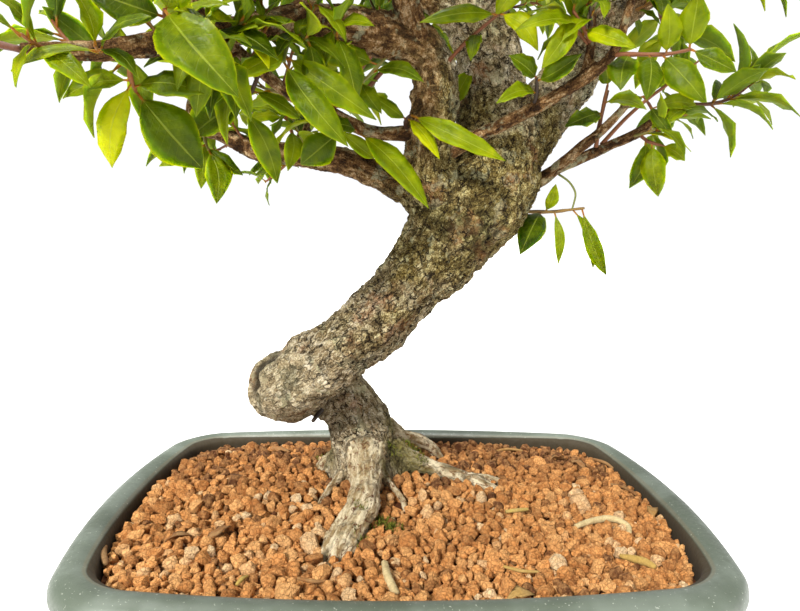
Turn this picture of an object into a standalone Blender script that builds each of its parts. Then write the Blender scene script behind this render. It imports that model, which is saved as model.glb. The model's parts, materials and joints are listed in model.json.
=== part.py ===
"""Pomegranate bonsai, planted in a shallow glazed tray pot.

The tree stands in baked-clay granules. Its trunk rises from a spread of surface roots, folds
back on itself in a blunt knob, leans up to the right, and divides into limbs that carry a
rounded crown of leafy shoots. X runs to the right of the front view, Y away from it, Z up.
The floor is z = 0. Tables of places and radii are in millimetres; everything built is in metres.
"""
import math
import random

import bmesh
import bpy
from mathutils import Matrix, Vector
from mathutils.bvhtree import BVHTree

MM = 0.001
UP = Vector((0.0, 0.0, 1.0))

# Driving dimensions of the pot, in millimetres
POT_LENGTH = 279.0
POT_DEPTH = 208.0
POT_HEIGHT = 70.0
POT_CORNER = 24.0
SIDE_BOW = 12.5
END_BOW = 10.0
LIP_WIDTH = 14.0
FLOOR_UNDER = 8.0
FLOOR_TOP = 14.5
FOOT_TOP = 9.5
DRAIN_RADIUS = 9.0
DRAIN_X = 62.0
SCREEN_SIZE = 30.0
SCREEN_CELLS = 5
SCREEN_THICKNESS = 1.0
ARC_STEPS = 5
SIDE_PARTS = (0.25, 0.5, 0.75)

# Driving dimensions of the filling, in millimetres
SOIL_EDGE_Z = 62.5
SOIL_MOUND = 10.0
MOUND_CENTRE = (-12.0, 20.0)
MOUND_SPREAD = (75.0, 52.0)
GRANULE = 18.2
GRANULE_RISE = 2.6
GAP = 0.35
ROOT_GAP = 0.5

# The blunt knob where the trunk folds back, in millimetres
KNOB_CENTRE = (-55.0, 13.0, 118.5)
KNOB_RADII = (17.2, 18.5, 17.6)

# Driving dimensions of the foliage, in millimetres
BLADE_THICKNESS = 1.0
PETIOLE = 0.75
LOW_BLADE = ((0.24, 0.62), (0.5, 1.0), (0.8, 0.7))
CROWN_BLADE = ((0.34, 0.92), (0.72, 0.88))
BLADE_ARCH = 0.12
BLADE_FOLD = 0.28
SHOOT_RADIUS = 1.15
LEAF_LENGTH = (24.0, 37.0)
WHORLS = ((0.28, 3), (0.54, 3), (0.8, 2))
CROWN_SEED = 41
FOOT_GAP = 0.45
FOOT_STEP = 0.25
NODE_HALF = 1.1
NODE_SPACING = 2.9

# The wood: each limb is a list of (x, y, z, radius) along its axis, in millimetres
LIMBS = {
    "base_trunk": [
        (-14, 22, 44, 19), (-15, 24, 60, 23), (-16, 25, 70, 21.5), (-17, 26, 80, 18),
        (-20, 29, 94, 15.6), (-27, 32, 105, 15.2), (-38, 32, 113, 15.5), (-50, 25, 117, 16),
    ],
    "diagonal": [
        (-55, 10, 119, 16.5), (-46, -2, 126, 16), (-30, -11, 139, 15.3), (-13, -12, 153, 14.8),
        (2, -9, 169, 15.2), (11, -6, 180, 17), (21, -2, 193, 21), (32, 3, 207, 25),
        (41, 8, 222, 24), (44, 10, 236, 21), (43, 12, 251, 17.8), (41, 13, 264, 16),
        (39, 15, 278, 14.9), (35, 17, 294, 14), (31, 20, 313, 12.4), (26, 21, 334, 10),
        (20, 19, 354, 7.6), (15, 16, 372, 5.4), (12, 13, 384, 3.2), (11, 12, 388, 2.4),
    ],
    "right_limb": [
        (42, 8, 222, 18), (56, 16, 238, 15.8), (71, 26, 256, 13.8), (85, 34, 274, 13),
        (98, 40, 291, 12.4), (107, 44, 310, 11.6), (114, 48, 329, 9.4), (124, 50, 344, 6.5),
        (134, 48, 354, 4.2), (142, 45, 361, 2.2),
    ],
    "left_stem": [
        (24, -2, 203, 17), (14, -8, 218, 12.5), (11, -10, 230, 10.6), (11, -12, 242, 9.6),
        (14, -14, 256, 9.4), (9, -18, 269, 9.3), (-2, -24, 274, 8.6), (-14, -32, 275, 7.6),
        (-26, -42, 275, 6.5), (-37, -52, 273, 5.9), (-49, -64, 267, 5), (-59, -74, 262, 4.4),
        (-69, -84, 258, 4), (-81, -95, 252, 3.6), (-94, -106, 247, 3), (-110, -114, 245, 2.1),
    ],
    "left_low": [
        (14, 4, 206, 9), (-1, 8, 215, 6.8), (-14, 12, 222, 6.1), (-27, 15, 227, 5.9),
        (-40, 18, 229, 5.8), (-54, 20, 231, 5.3), (-67, 22, 232, 5), (-78, 25, 236, 4.6),
        (-88, 28, 241, 4.1), (-99, 30, 244, 3.3), (-104, 32, 252, 2.5), (-102, 34, 262, 2),
        (-98, 35, 270, 1.6),
    ],
    "left_mid": [
        (10, -12, 238, 4.4), (-5, -14, 237, 3.2), (-14, -17, 237, 3), (-23, -22, 240, 2.8),
        (-31, -30, 243, 2.6), (-46, -46, 248, 2.4), (-57, -62, 255, 2.1), (-65, -78, 262, 1.7),
        (-70, -86, 268, 1.4),
    ],
    "right_cross": [
        (16, -10, 228, 4), (31, -16, 236, 3.1), (40, -21, 240, 2.9), (52, -26, 246, 2.8),
        (63, -30, 252, 2.7), (72, -34, 258, 2.7), (79, -36, 263, 2.2), (83, -38, 270, 2),
        (85, -42, 281, 1.8), (87, -48, 296, 1.5),
    ],
    "cross_up": [(71, -33, 257, 2.4), (73, -34, 265, 2), (73, -36, 276, 1.8), (72, -40, 288, 1.5)],
    "right_a": [
        (50, 12, 213, 4.5), (65, 8, 219, 2.9), (74, 5, 227, 2.7), (84, 2, 236, 2.5),
        (92, 0, 243, 2.2), (98, -2, 250, 1.9), (104, -4, 257, 1.6),
    ],
    "right_b": [
        (56, 10, 213, 3.6), (71, 9, 224, 2.8), (82, 10, 229, 2.7), (93, 12, 234, 2.6),
        (102, 14, 238, 2.5), (113, 16, 243, 2.4), (122, 18, 249, 2.3), (130, 20, 254, 2.1),
        (142, 22, 258, 1.8),
    ],
    "left_riser": [
        (-48, 19, 230, 3.2), (-47, 24, 243, 3.1), (-40, 26, 253, 2.8), (-26, 28, 268, 2.4),
        (-12, 30, 286, 2), (-6, 32, 302, 1.6),
    ],
    "upper_left": [
        (38, 15, 286, 10), (20, 18, 301, 8), (-8, 21, 322, 6.8), (-42, 20, 343, 5.4),
        (-80, 14, 357, 3.6), (-108, 8, 364, 2),
    ],
    "left_fan": [(-42, 20, 343, 4.6), (-64, 36, 350, 3.4), (-84, 52, 354, 2)],
    "left_drop": [(-60, 18, 350, 3.6), (-88, 22, 338, 2.8), (-112, 26, 324, 1.8)],
    "back_limb": [
        (41, 14, 268, 10), (39, 34, 284, 7), (34, 56, 302, 5.2), (26, 76, 320, 3.6),
        (18, 90, 332, 2.2),
    ],
    "back_fan": [(34, 56, 302, 4.2), (54, 70, 318, 3.2), (74, 82, 330, 2)],
    "back_left": [(30, 66, 310, 4), (2, 74, 326, 3), (-32, 84, 338, 1.9)],
    "right_side": [(100, 41, 296, 8), (118, 34, 308, 4.6), (136, 27, 317, 2.2)],
    "right_back": [(114, 48, 329, 6), (119, 64, 340, 3.8), (124, 80, 347, 2.2)],
    "front_right": [
        (36, 17, 291, 8.5), (46, -6, 308, 5.6), (58, -36, 324, 4), (70, -62, 334, 2.2),
    ],
    "front_left": [
        (4, -21, 272, 7), (-4, -42, 292, 4.6), (-14, -66, 310, 3.2), (-22, -84, 320, 2),
    ],
    "top_left": [(23, 20, 344, 6), (2, 8, 362, 4.2), (-24, -6, 374, 2.6), (-42, -16, 380, 1.8)],
    "top_right": [(20, 19, 352, 5.4), (44, 22, 364, 4), (66, 20, 374, 2.6), (80, 16, 378, 1.8)],
    "top_back": [(17, 18, 364, 4.6), (10, 42, 371, 3.3), (2, 64, 376, 2)],
    "top_front": [(27, 21, 336, 6), (24, -10, 354, 3.9), (18, -38, 366, 2.9), (12, -54, 372, 1.9)],
    "root_front": [
        (-17, 24, 84, 12), (-16, 8, 82, 9.2), (-16, -8, 77, 7.5), (-17, -22, 71.5, 7.1),
        (-22, -34, 67, 7.3), (-27, -45, 61, 7.2), (-31, -55, 52, 5),
    ],
    "root_right": [
        (-12, 22, 82, 12), (7, 23, 76.5, 8), (22, 22, 72, 5.8), (37, 17, 69.6, 4.7),
        (49, 11, 65.5, 3.6), (60, 8, 59, 2.4),
    ],
    "root_fork": [(36, 17, 69.4, 3.8), (47, 20, 67.4, 3), (58, 21, 63.5, 2.4), (68, 22, 58, 1.8)],
    "root_back": [
        (-12, 30, 84, 11), (1, 44, 77, 7), (10, 50, 73, 5.4), (19, 52, 69.6, 4.4), (27, 51, 63, 3),
        (34, 50, 56, 2.2),
    ],
    "root_left": [(-20, 20, 77, 5.5), (-29, 7, 73.6, 2.6), (-35, -5, 69.5, 1.9), (-40, -12, 63, 1.4)],
    "root_mid": [(-10, 10, 77, 4), (-4, 2, 73.4, 2.1), (2, -9, 69, 1.7), (4, -18, 62, 1.4)],
    "root_backleft": [(-20, 28, 80, 11), (-31, 32, 74, 6.4), (-40, 34, 66, 4.6), (-48, 36, 56, 3)],
}

# The shoots that hang lowest: the stem's points, then each leaf as
# (place along the stem, tip, width). The stem's first point lies inside the branch it grows from.
LOW_SHOOTS = {
    "low_right": (
        [(50, 10, 205), (71, 12, 205), (80, 12, 206), (88, 12, 207)],
        [(0.5, (73, 9, 218), 6), (0.45, (59, -14, 186), 10), (0.62, (76, 10, 180), 5),
         (0.97, (101, 14, 174), 8), (0.85, (97, 20, 177), 7)],
    ),
    "under_b": (
        [(114, 16, 243), (118, 14, 239), (124, 11, 237)],
        [(0.6, (122, 8, 213), 12), (0.35, (111, 16, 217), 10), (1.0, (133, 6, 230), 9)],
    ),
    "over_b": (
        [(122, 18, 249), (118, 12, 254), (112, 8, 259)],
        [(0.6, (124, 0, 240), 7), (1.0, (99, 4, 250), 8), (0.9, (122, 4, 272), 9),
         (0.5, (140, 12, 256), 8)],
    ),
    "c_twig": (
        [(92, 12, 234), (91, 2, 250), (91, -4, 261)],
        [(0.6, (72, -8, 243), 10), (0.75, (106, -12, 250), 8), (1.0, (86, -12, 270), 8)],
    ),
    "cross_sprig": (
        [(53, -27, 247), (53, -31, 252), (52, -35, 257)],
        [(1.0, (40, -42, 264), 9), (0.5, (36, -40, 247), 7), (0.9, (66, -46, 264), 8)],
    ),
    "right_cluster": (
        [(81, -37, 266), (89, -43, 265), (98, -48, 264), (106, -52, 265)],
        [(0.25, (80, -52, 250), 12), (0.5, (89, -56, 246), 10), (0.65, (110, -58, 245), 12),
         (0.98, (106, -56, 284), 11), (0.7, (94, -58, 279), 9), (1.0, (121, -58, 256), 9)],
    ),
    "top_mid": (
        [(73, -35, 271), (68, -43, 274), (62, -48, 279)],
        [(0.6, (40, -54, 272), 9), (0.5, (82, -60, 264), 9), (0.8, (51, -48, 258), 9),
         (1.0, (64, -54, 298), 9)],
    ),
    "top_left_mid": (
        [(14, -16, 262), (24, -28, 272), (36, -36, 281)],
        [(0.98, (5, -48, 275), 8), (1.0, (50, -44, 266), 9), (0.65, (24, -44, 262), 7),
         (0.9, (44, -42, 299), 9)],
    ),
    "curve": (
        [(2, -13, 238), (0, -20, 241), (2, -27, 243)],
        [(1.0, (39, -42, 224), 9), (0.8, (14, -34, 226), 7), (0.7, (-14, -32, 250), 7)],
    ),
    "drop": (
        [(-21, -21, 239), (-19, -30, 235)],
        [(1.0, (9, -46, 206), 11), (0.7, (-34, -40, 236), 8)],
    ),
    "behind_stem": (
        [(14, -9, 248), (22, 4, 251)],
        [(1.0, (30, 2, 268), 10), (0.75, (18, 16, 238), 8)],
    ),
    "bright_pair": (
        [(-40, -54, 272), (-43, -66, 260), (-43, -75, 252)],
        [(1.0, (-21, -84, 224), 11), (0.85, (-12, -78, 234), 10), (0.6, (-58, -82, 246), 9)],
    ),
    "lit_leaf": (
        [(-2, -24, 274), (-11, -30, 262), (-18, -34, 254)],
        [(0.6, (-44, -38, 273), 15), (0.75, (6, -42, 254), 8), (1.0, (-10, -44, 241), 8)],
    ),
    "round_leaf": (
        [(-30, -29, 243), (-27, -31, 235)],
        [(1.0, (-43, -30, 222), 14), (0.8, (-12, -20, 226), 7)],
    ),
    "low_sprig": (
        [(-50, 20, 232), (-52, 12, 241), (-54, 6, 247)],
        [(0.9, (-70, -2, 244), 8), (0.6, (-52, 0, 222), 9), (1.0, (-62, 4, 264), 8),
         (0.95, (-38, -2, 248), 8)],
    ),
    "low_tip": (
        [(-97, 30, 244), (-95, 24, 237), (-92, 18, 232)],
        [(1.0, (-87, 12, 207), 13), (0.6, (-97, 22, 214), 8), (0.7, (-115, 16, 224), 8),
         (0.85, (-76, 18, 221), 8)],
    ),
    "low_end": (
        [(-99, 35, 267), (-97, 33, 277), (-99, 30, 284)],
        [(0.5, (-118, 22, 274), 8), (0.6, (-78, 26, 270), 8), (1.0, (-108, 22, 302), 9),
         (0.9, (-82, 24, 296), 8)],
    ),
    "mid_drop": (
        [(-54, -58, 253), (-57, -57, 246), (-61, -54, 240)],
        [(1.0, (-50, -46, 213), 10), (0.7, (-80, -62, 228), 16), (0.5, (-40, -48, 238), 8)],
    ),
    "near_big": (
        [(-76, -91, 254), (-74, -101, 257), (-72, -109, 258)],
        [(1.0, (-49, -123, 233), 18), (0.7, (-92, -114, 262), 12), (0.9, (-60, -122, 272), 12)],
    ),
    "near_low": (
        [(-86, -98, 250), (-88, -93, 243), (-88, -88, 239)],
        [(1.0, (-70, -78, 216), 18), (0.75, (-98, -86, 215), 10), (0.85, (-64, -94, 238), 9),
         (0.7, (-108, -96, 236), 8)],
    ),
    "left_end": (
        [(-68, -82, 265), (-71, -88, 272), (-74, -92, 278)],
        [(0.6, (-52, -94, 280), 10), (1.0, (-92, -96, 284), 10), (0.9, (-72, -84, 300), 9)],
    ),
}

# The shoots of the upper crown, grown by rule: (limb, place along it, heading, length)
CROWN_SHOOTS = [
    ("diagonal", 1.00, (0.1, -0.1, 1.0), 40), ("diagonal", 0.90, (-0.9, 0.8, 0.8), 50),
    ("right_limb", 1.00, (0.7, -0.1, 0.7), 46), ("right_limb", 0.78, (0.4, -0.9, 0.6), 50),
    ("left_stem", 1.00, (-0.9, -0.1, 0.2), 38), ("left_stem", 0.80, (-0.7, 0.3, 0.9), 50),
    ("upper_left", 1.00, (-1.0, -0.1, 0.1), 50), ("upper_left", 0.58, (-0.3, -0.9, 0.6), 52),
    ("upper_left", 0.74, (-0.5, 0.1, 1.0), 46),
    ("left_fan", 1.00, (-0.7, 0.8, 0.2), 48), ("left_drop", 1.00, (-0.9, 0.2, -0.3), 46),
    ("left_drop", 0.60, (-0.5, -0.9, 0.1), 50), ("left_drop", 0.85, (-0.4, 1.0, 0.1), 46),
    ("back_limb", 1.00, (-0.1, 0.9, 0.2), 42), ("back_limb", 0.62, (-0.6, 0.5, 0.9), 50),
    ("back_fan", 1.00, (0.6, 0.7, 0.1), 44), ("back_left", 1.00, (-0.8, 0.5, 0.1), 46),
    ("right_side", 1.00, (0.9, -0.4, 0.0), 42), ("right_side", 0.60, (0.4, 0.5, -0.6), 40),
    ("right_back", 1.00, (0.5, 0.8, 0.2), 44), ("right_b", 1.00, (0.9, -0.1, 0.1), 30),
    ("front_right", 1.00, (0.4, -0.9, 0.0), 46), ("front_right", 0.55, (0.8, -0.5, 0.3), 48),
    ("front_left", 1.00, (0.0, -0.9, 0.3), 42), ("front_left", 0.55, (-0.8, -0.1, 0.8), 48),
    ("top_left", 1.00, (-0.7, -0.7, 0.3), 48), ("top_right", 1.00, (0.9, -0.3, 0.3), 50),
    ("top_back", 1.00, (-0.2, 0.9, 0.1), 48), ("top_front", 1.00, (-0.1, -0.9, 0.2), 48),
    ("right_cross", 1.00, (0.7, -0.6, 0.3), 38), ("left_riser", 1.00, (-0.2, 0.3, 0.9), 34),
    ("top_right", 0.55, (0.2, 0.9, 0.7), 44),
]

# Bits lying on the soil: (x, y, height above the soil, radius), in millimetres
SOIL_BITS = {
    "fallen_twig": [
        (79, -27, 1.2, 1.2), (88, -22, 1.6, 1.4), (98, -19, 1.6, 1.5), (103, -25, 1.4, 1.2),
        (101, -33, 1.0, 1.1),
    ],
    "root_end": [(-7, -58, 0.8, 1.3), (-6, -68, 1.6, 1.6), (-3, -79, 1.0, 1.5)],
}


def clear_scene():
    """Remove every object of the file."""
    for item in list(bpy.data.objects):
        bpy.data.objects.remove(item, do_unlink=True)


def material(name, colour, roughness):
    """A plain Principled material."""
    mat = bpy.data.materials.new(name)
    mat.use_nodes = True
    shader = mat.node_tree.nodes["Principled BSDF"]
    shader.inputs["Base Color"].default_value = (*colour, 1.0)
    shader.inputs["Roughness"].default_value = roughness
    mat.diffuse_color = (*colour, 1.0)
    return mat


def add_object(name, mesh, mat=None):
    """Link a mesh into the scene as a named object."""
    item = bpy.data.objects.new(name, mesh)
    if mat is not None:
        mesh.materials.clear()
        mesh.materials.append(mat)
    bpy.context.scene.collection.objects.link(item)
    return item


def mesh_from(bm, name):
    """Turn a bmesh into a mesh with its faces pointing out."""
    bmesh.ops.recalc_face_normals(bm, faces=bm.faces)
    mesh = bpy.data.meshes.new(name)
    bm.to_mesh(mesh)
    bm.free()
    return mesh


def evaluated_mesh(item):
    """The object's mesh with its modifiers applied."""
    bpy.context.view_layer.update()
    graph = bpy.context.evaluated_depsgraph_get()
    return bpy.data.meshes.new_from_object(item.evaluated_get(graph))


def merge_flat_faces(mesh):
    """Join faces that lie in one plane, and split the result into triangles again."""
    bm = bmesh.new()
    bm.from_mesh(mesh)
    bmesh.ops.dissolve_limit(bm, angle_limit=math.radians(0.6), verts=bm.verts, edges=bm.edges)
    bmesh.ops.triangulate(bm, faces=bm.faces)
    bm.to_mesh(mesh)
    bm.free()


def boolean(item, others, operation):
    """Apply one Boolean of the item with a collection of others, which are then removed."""
    group = bpy.data.collections.new(item.name + "_tools")
    bpy.context.scene.collection.children.link(group)
    for other in others:
        bpy.context.scene.collection.objects.unlink(other)
        group.objects.link(other)
    modifier = item.modifiers.new("join", "BOOLEAN")
    modifier.operation = operation
    modifier.operand_type = "COLLECTION"
    modifier.collection = group
    modifier.solver = "EXACT"
    result = evaluated_mesh(item)
    item.modifiers.clear()
    item.data = result
    merge_flat_faces(result)
    for other in others:
        bpy.data.objects.remove(other, do_unlink=True)
    bpy.data.collections.remove(group)


def bridge_rings(bm, rings):
    """Join rings of equal count into one closed skin with flat ends."""
    loops = [[bm.verts.new(Vector(point) * MM) for point in ring] for ring in rings]
    for lower, upper in zip(loops, loops[1:]):
        count = len(lower)
        for i in range(count):
            j = (i + 1) % count
            bm.faces.new((lower[i], lower[j], upper[j], upper[i]))
    bm.faces.new(tuple(reversed(loops[0])))
    bm.faces.new(tuple(loops[-1]))


def pot_outline(inset, z):
    """One horizontal outline of the pot, inset from its widest outline."""
    half_x = POT_LENGTH / 2.0 - inset
    half_y = POT_DEPTH / 2.0 - inset
    corner = max(POT_CORNER - 0.55 * inset, 6.0)
    points = []
    for turn, (sx, sy) in enumerate(((1, 1), (-1, 1), (-1, -1), (1, -1))):
        for step in range(ARC_STEPS + 1):
            angle = math.radians(90.0 * turn + 90.0 * step / ARC_STEPS)
            x = sx * (half_x - corner) + corner * math.cos(angle)
            y = sy * (half_y - corner) + corner * math.sin(angle)
            points.append((x, y))
        following = ((-1, 1), (-1, -1), (1, -1), (1, 1))[turn]
        start = points[-1]
        end = (
            following[0] * (half_x - corner) + corner * math.cos(angle),
            following[1] * (half_y - corner) + corner * math.sin(angle),
        )
        for part in SIDE_PARTS:
            side_x = start[0] + (end[0] - start[0]) * part
            side_y = start[1] + (end[1] - start[1]) * part
            points.append((side_x, side_y))
    ring = []
    for x, y in points:
        bowed_x = x * (1.0 - SIDE_BOW / half_x * (y / half_y) ** 2)
        bowed_y = y * (1.0 - END_BOW / half_y * (x / half_x) ** 2)
        ring.append((bowed_x, bowed_y, z))
    return ring


def inner_profile():
    """(inset, z) of the pot's inside, from the lip down to its floor."""
    return [
        (LIP_WIDTH, POT_HEIGHT - 4.0), (LIP_WIDTH + 0.6, POT_HEIGHT - 14.0),
        (LIP_WIDTH + 3.5, FLOOR_TOP + 7.0), (LIP_WIDTH + 8.0, FLOOR_TOP),
    ]


def build_pot(mat):
    """The tray pot: body, rolled lip, four corner feet, two drain holes."""
    top = POT_HEIGHT
    outside = [
        (18.0, FLOOR_UNDER), (14.5, FLOOR_UNDER + 3.0), (6.5, top - 15.0),
        (1.2, top - 12.6), (0.0, top - 9.0), (0.5, top - 4.6), (2.4, top - 1.6),
        (6.5, top), (10.6, top - 0.6), (13.2, top - 2.2),
    ]
    bm = bmesh.new()
    bridge_rings(bm, [pot_outline(inset, z) for inset, z in outside + inner_profile()])
    pot = add_object("pot", mesh_from(bm, "pot"), mat)
    drains = []
    for side in (-1, 1):
        bm = bmesh.new()
        radius = DRAIN_RADIUS * MM
        bmesh.ops.create_cone(bm, cap_ends=True, segments=12, radius1=radius, radius2=radius, depth=30 * MM)
        bmesh.ops.translate(bm, verts=bm.verts, vec=(side * DRAIN_X * MM, 0.0, FLOOR_TOP * MM))
        drains.append(add_object("drain", mesh_from(bm, "drain")))
    boolean(pot, drains, "DIFFERENCE")
    feet = [build_foot(turn) for turn in range(4)]
    boolean(pot, feet, "UNION")
    return pot


def build_foot(turn):
    """One angled foot that follows a corner of the pot's underside."""
    first = turn * (ARC_STEPS + 1 + len(SIDE_PARTS))
    rings = []
    for z, out, back in ((0.0, 21.0, 32.0), (FOOT_TOP, 18.5, 34.5)):
        outer = pot_outline(out, z)
        inner = pot_outline(back, z)
        count = len(outer)
        span = [(first + i) % count for i in range(-1, ARC_STEPS + 2)]
        rings.append([outer[i] for i in span] + [inner[i] for i in reversed(span)])
    bm = bmesh.new()
    bridge_rings(bm, rings)
    return add_object("foot", mesh_from(bm, "foot"))


def build_screen(side, mat):
    """A square drainage screen with four openings, lying over one drain hole."""
    cells = SCREEN_CELLS
    pitch = SCREEN_SIZE / cells
    corner = Vector((side * DRAIN_X - SCREEN_SIZE / 2.0, -SCREEN_SIZE / 2.0, FLOOR_TOP + GAP))
    bm = bmesh.new()
    verts = {}
    for level in (0, 1):
        for i in range(cells + 1):
            for j in range(cells + 1):
                step = Vector((i * pitch, j * pitch, level * SCREEN_THICKNESS))
                verts[i, j, level] = bm.verts.new((corner + step) * MM)
    solid = {(i, j) for i in range(cells) for j in range(cells) if not (i % 2 and j % 2)}
    for i, j in solid:
        corners = ((i, j), (i + 1, j), (i + 1, j + 1), (i, j + 1))
        bm.faces.new([verts[a, b, 1] for a, b in corners])
        bm.faces.new([verts[a, b, 0] for a, b in reversed(corners)])
        for step, (di, dj) in enumerate(((0, -1), (1, 0), (0, 1), (-1, 0))):
            if (i + di, j + dj) not in solid:
                (a, b), (c, d) = corners[step], corners[(step + 1) % 4]
                bm.faces.new((verts[a, b, 0], verts[c, d, 0], verts[c, d, 1], verts[a, b, 1]))
    loose = [vert for vert in bm.verts if not vert.link_faces]
    bmesh.ops.delete(bm, geom=loose, context="VERTS")
    name = "drain_screen_left" if side < 0 else "drain_screen_right"
    return add_object(name, mesh_from(bm, name), mat)


def soil_height(x, y):
    """Height of the soil's general surface, in millimetres."""
    across = ((x - MOUND_CENTRE[0]) / MOUND_SPREAD[0]) ** 2
    along = ((y - MOUND_CENTRE[1]) / MOUND_SPREAD[1]) ** 2
    return SOIL_EDGE_Z + SOIL_MOUND * math.exp(-across - along)


def build_soil(mat, holes):
    """The filling: a mound covered in granule facets, with holes for roots, bits and screens."""
    rng = random.Random(7)
    rows = int(POT_DEPTH / (GRANULE * 0.866)) + 2
    columns = int(POT_LENGTH / GRANULE) + 2
    sites = {}
    for row in range(rows):
        for column in range(columns):
            x = (column - (columns - 1) / 2.0 + 0.5 * (row % 2)) * GRANULE + rng.uniform(-1.6, 1.6)
            y = (row - (rows - 1) / 2.0) * GRANULE * 0.866 + rng.uniform(-1.6, 1.6)
            sites[row, column] = (x, y, soil_height(x, y) + GRANULE_RISE * rng.uniform(0.35, 1.0))
    bm = bmesh.new()
    peaks = {key: bm.verts.new(Vector(place) * MM) for key, place in sites.items()}
    for row in range(rows - 1):
        for column in range(columns - 1):
            here, right = (row, column), (row, column + 1)
            above, above_right = (row + 1, column), (row + 1, column + 1)
            if row % 2:
                triangles = ((here, right, above_right), (here, above_right, above))
            else:
                triangles = ((here, right, above), (right, above_right, above))
            for triangle in triangles:
                x = sum(sites[key][0] for key in triangle) / 3.0
                y = sum(sites[key][1] for key in triangle) / 3.0
                dip = bm.verts.new(Vector((x, y, soil_height(x, y) - rng.uniform(0.2, 1.1))) * MM)
                for first, second in zip(triangle, triangle[1:] + triangle[:1]):
                    bm.faces.new((peaks[first], peaks[second], dip))
    rim = [edge for edge in bm.edges if edge.is_boundary]
    skirt = bmesh.ops.extrude_edge_only(bm, edges=rim)["geom"]
    for vert in skirt:
        if isinstance(vert, bmesh.types.BMVert):
            vert.co.z = 5.0 * MM
    bmesh.ops.holes_fill(bm, edges=[edge for edge in bm.edges if edge.is_boundary], sides=0)
    soil = add_object("soil", mesh_from(bm, "soil"), mat)
    profile = inner_profile()
    fill = [(profile[0][0] + GAP, POT_HEIGHT + 30.0)] + [(inset + GAP, z) for inset, z in profile[:-1]]
    fill.append((profile[-1][0] + GAP, profile[-1][1] + GAP))
    bm = bmesh.new()
    bridge_rings(bm, [pot_outline(inset, z) for inset, z in reversed(fill)])
    boolean(soil, [add_object("fill", mesh_from(bm, "fill"))], "INTERSECT")
    for side in (-1, 1):
        bm = bmesh.new()
        bmesh.ops.create_cube(bm, size=1.0)
        room = (SCREEN_SIZE + 1.0) * MM
        bmesh.ops.scale(bm, verts=bm.verts, vec=(room, room, 4.0 * MM))
        bmesh.ops.translate(bm, verts=bm.verts, vec=(side * DRAIN_X * MM, 0.0, (FLOOR_TOP - 0.2) * MM))
        holes.append(add_object("screen_room", mesh_from(bm, "screen_room")))
    boolean(soil, holes, "DIFFERENCE")
    return soil


def sample_curve(points, step):
    """A smooth curve through the points, each (x, y, z, radius), about every step."""
    ends = [points[0]] + list(points) + [points[-1]]
    samples = []
    for i in range(1, len(ends) - 2):
        before, start, end, after = (Vector(ends[i + k]) for k in (-1, 0, 1, 2))
        count = max(1, round((end - start).to_3d().length / step))
        for part in range(count):
            t = part / count
            samples.append(
                0.5 * (2 * start + (end - before) * t + (2 * before - 5 * start + 4 * end - after) * t * t
                       + (3 * start - before - 3 * end + after) * t ** 3)
            )
    samples.append(Vector(points[-1]))
    return samples


def tube(name, samples, sides, lump=0.0, grow=0.0, phase=0.0):
    """A closed tube along samples (x, y, z, radius): flat where it starts, domed at its end."""
    centres = [sample.to_3d() for sample in samples]
    radii = [sample.w + grow for sample in samples]
    last = len(centres) - 1
    tangents = [(centres[min(i + 1, last)] - centres[max(i - 1, 0)]).normalized() for i in range(last + 1)]
    across = tangents[0].orthogonal().normalized()
    bm = bmesh.new()
    loops = []

    def add_ring(centre, radius, tangent, index):
        side = across - tangent * across.dot(tangent)
        side.normalize()
        other = tangent.cross(side)
        ring = []
        for k in range(sides):
            angle = math.tau * k / sides
            wave = math.sin(3 * angle + 0.9 * index + phase)
            wave += 0.7 * math.sin(5 * angle - 1.7 * index + 2 * phase)
            reach = radius * (1.0 + lump * wave / 1.7)
            outward = side * math.cos(angle) + other * math.sin(angle)
            ring.append(bm.verts.new((centre + outward * reach) * MM))
        loops.append(ring)
        return side

    for i in range(last + 1):
        across = add_ring(centres[i], radii[i], tangents[i], i)
    for lower, upper in zip(loops, loops[1:]):
        for k in range(sides):
            j = (k + 1) % sides
            bm.faces.new((lower[k], lower[j], upper[j], upper[k]))
    bm.faces.new(tuple(reversed(loops[0])))
    end = bm.verts.new((centres[-1] + tangents[-1] * radii[-1] * 0.6) * MM)
    for k in range(sides):
        bm.faces.new((loops[-1][k], loops[-1][(k + 1) % sides], end))
    bmesh.ops.triangulate(bm, faces=bm.faces)
    return add_object(name, mesh_from(bm, name))


def limb_tube(name, grow=0.0):
    """The tube of one limb, with sides, rings and bark relief that suit its thickness."""
    points = LIMBS[name]
    widest = max(point[3] for point in points)
    sides = 11 if widest > 18.5 else 9 if widest > 12 else 6 if widest > 6.5 else 5
    step = 14.0 if widest > 12 else 26.0
    if name.startswith("root"):
        step = 15.0
    lump = 0.06 if widest > 8 else 0.03
    return tube(name, sample_curve(points, step), sides, lump, grow, phase=len(name) * 1.3)


def knob():
    """The blunt knob where the trunk folds back on itself."""
    bm = bmesh.new()
    bmesh.ops.create_icosphere(bm, subdivisions=2, radius=1.0)
    for vert in bm.verts:
        x, y, z = vert.co
        lump = 1.0 + 0.03 * math.sin(5 * x + 2) * math.sin(6 * y) + 0.03 * math.sin(7 * z + 3 * x)
        reach = Vector((x * KNOB_RADII[0], y * KNOB_RADII[1], z * KNOB_RADII[2])) * lump
        vert.co = (Vector(KNOB_CENTRE) + reach) * MM
    return add_object("knob", mesh_from(bm, "knob"))


def build_wood(mat):
    """Roots, folded trunk, limbs and branches, grown as one body."""
    wood = limb_tube("base_trunk")
    wood.name = "wood"
    others = [limb_tube(name) for name in LIMBS if name != "base_trunk"] + [knob()]
    boolean(wood, others, "UNION")
    wood.data.materials.clear()
    wood.data.materials.append(mat)
    return wood


def root_holes():
    """The plain holes of the roots in the soil: the buried limbs, a little fatter."""
    names = ["base_trunk"] + [name for name in LIMBS if name.startswith("root")]
    return [limb_tube(name, ROOT_GAP) for name in names]


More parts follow.
